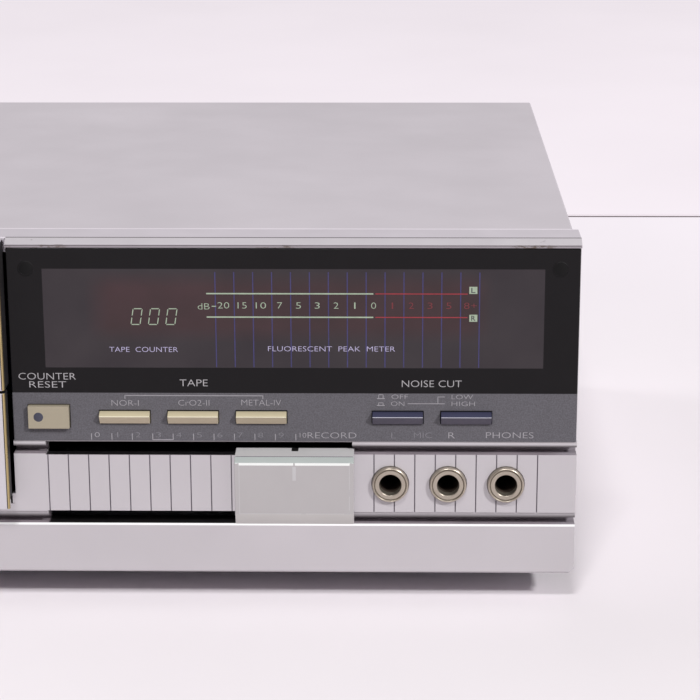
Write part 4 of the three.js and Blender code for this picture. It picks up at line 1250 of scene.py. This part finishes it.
def make_transport():
    """The mechanism behind the door."""
    make_spindle("supply_spindle", "supply_reel")
    make_spindle("takeup_spindle", "takeup_reel")
    x, _, z = middle_of("pinch_roller")
    tyre = [(1.15, 3.1), (5.7, 3.1), (6, 3.4), (6, 12.2), (5.7, 12.5), (1.15, 12.5)]
    roller = ["pinch_roller"]
    turned_piece("pinch_roller_tyre", tyre, (x, 0, z), "Y", 64, "rubber", None, "roller", roller, True)
    bush = [(1.1, 2.8), (2.4, 2.8), (2.6, 3.1), (2.6, 3.3), (1.1, 3.3)]
    place = (x, 0, z)
    turned_piece("pinch_roller_bush", bush, place, "Y", 40, "brass", "nickel", "roller", closed=True)
    refine("cassette_holder", "black_plastic", 0.25, 2)
    refine("mech_plate", "zinc_steel", 0.2, 2)
    refine("head_bridge", "zinc_steel", 0.2, 2)
    refine("play_head", "bright_steel", 0.25, 3)
    low, high = node_box("play_head")
    middle = (low.x + high.x) / 2
    face, guides = bmesh.new(), bmesh.new()
    for x, half in ((middle - 3, 0.1), (middle + 3, 0.1), (middle, 0.08)):
        block(face, x - half, x + half, low.y + 1.2, high.y - 1.2, high.z - 0.3, high.z + 0.02)
    for y in (low.y + 2.2, low.y + 4.9):
        block(face, middle - 2.2, middle + 2.2, y, y + 1.5, high.z - 0.3, high.z + 0.03)
    add_piece("head_gaps", face, "dark_ink", "bright_steel", "head_slide")
    for x in (low.x - 1.4, high.x + 0.4):
        rounded_block(guides, x, x + 1, 4, 12, high.z - 4, high.z + 1, 0.2)
    add_piece("tape_guides", guides, "bright_steel", body="head_slide")
    plate_front = 20
    places = [(x, plate_front, z) for z in (92, 60) for x in (-70, 37)]
    add_screws("mech", places, "Y", -1, radius=2.2, rise=1.2)


def make_motor():
    low, high = node_box("drive_motor")
    x, _, z = middle_of("drive_motor")
    front, back = low.y, high.y
    can = [(0, front), (4, front), (4.2, front + 0.4), (15.6, front + 0.4), (16.6, front + 0.9)]
    can += [(17, front + 1.6), (17, back - 2), (16.6, back - 1.2), (16.6, back - 0.6)]
    can += [(15, back), (0, back)]
    turned_piece("drive_motor_can", can, (x, 0, z), "Y", 64, "zinc_steel", replaced=["drive_motor"])
    sleeve = [(17.06, front + 8), (17.06, back - 8), (16.9, back - 8), (16.9, front + 8)]
    turned_piece("motor_sleeve", sleeve, (x, 0, z), "Y", 64, "grey_band", "zinc_steel", closed=True)


# ---- inside ----
def make_boards():
    """The circuit boards with their capacitors, chips with their legs, and resistors."""
    refine("main_board", "circuit_board", 0.1, 1)
    refine("front_board", "circuit_board", 0.1, 1)
    low, high = node_box("main_board")
    resistor = [(0, -3), (0.9, -3), (1, -2.6), (1, 2.6), (0.9, 3), (0, 3)]
    leg_pitch = 2.54
    cans, chips, parts = bmesh.new(), bmesh.new(), bmesh.new()
    for column in range(9):
        for row in range(3):
            x, y = low.x + 24 + column * 30, low.y + 22 + row * 42
            radius, height = 3.5 + (column * 5 + row * 3) % 4, 10 + (column * 7 + row * 5) % 11
            neck = radius - 0.4
            can = [(0, height), (radius - 1, height), (neck, height - 0.4), (radius, height - 1)]
            can += [(radius, 1.4), (neck, 1), (radius, 0.6), (radius, 0), (0, 0)]
            turn(cans, can, (x, y, high.z), "Z", 32)
            rounded_block(chips, x + 9, x + 20, y - 3.2, y + 3.2, high.z + 0.6, high.z + 4, 0.3)
            for leg in range(4):
                for side in (-1, 1):
                    leg_x, leg_y = x + 10.4 + leg * leg_pitch, y + side * 3.7
                    block(parts, leg_x, leg_x + 0.5, leg_y - 0.15, leg_y + 0.15, high.z, high.z + 2.4)
            for i in range(3):
                turn(parts, resistor, (x + 14, y + 9 + i * 4, high.z + 1.2), "X", 16)
    add_piece("board_capacitors", cans, "capacitor_blue", "circuit_board")
    add_piece("board_chips", chips, "black_plastic", "circuit_board")
    add_piece("board_parts", parts, "brass", "circuit_board")


def make_transformer():
    """The mains transformer: a stack of laminations round a wound coil, on a bent steel foot."""
    low, high = node_box("power_transformer")
    x, y, _ = middle_of("power_transformer")
    core, coil, foot = bmesh.new(), bmesh.new(), bmesh.new()
    rounded_block(core, x - 30, x + 30, y - 25, y + 25, low.z + 3.7, high.z, 0.5)
    rounded_block(coil, x - 22.5, x + 22.5, low.y, high.y, low.z + 12, high.z - 8, 5, 5)
    rounded_block(foot, low.x, high.x, y - 15, y + 15, low.z, low.z + 3.5, 0.6)
    add_piece("transformer_core", core, "laminations", "core_steel", replaced=["power_transformer"])
    add_piece("transformer_coil", coil, "copper_wire", "core_steel")
    add_piece("transformer_foot", foot, "zinc_steel")
    places = [(x + side * 34.5, y, low.z + 3.5) for side in (-1, 1)]
    add_screws("transformer", places, "Z", 1, radius=2.4, rise=1.4)


make_camera()
make_stage()
make_fascia()
make_cover()
refine("front_frame", "silver_frame", 0.2, 2)
make_rear()
make_sockets()
make_inlet()
for foot_name in ("foot_front_left", "foot_front_right", "foot_rear_left", "foot_rear_right"):
    make_foot(foot_name)
make_underside()
make_plate()
make_legends()
make_meter()
make_buttons()
make_knob()
make_jacks()
make_module()
make_keys()
make_controls()
make_door_window()
make_transport()
make_motor()
make_boards()
make_transformer()
refine("meter_tube", "glass", 0.2, 2)
for plain_node in (
    "switch_bank",
    "record_pot",
    "hinge_pin_left",
    "hinge_pin_right",
    "capstan_flywheel",
    "motor_pulley",
    "drive_belt",
    "pinch_arm",
):
    refine(plain_node, None, 0.2, 2)
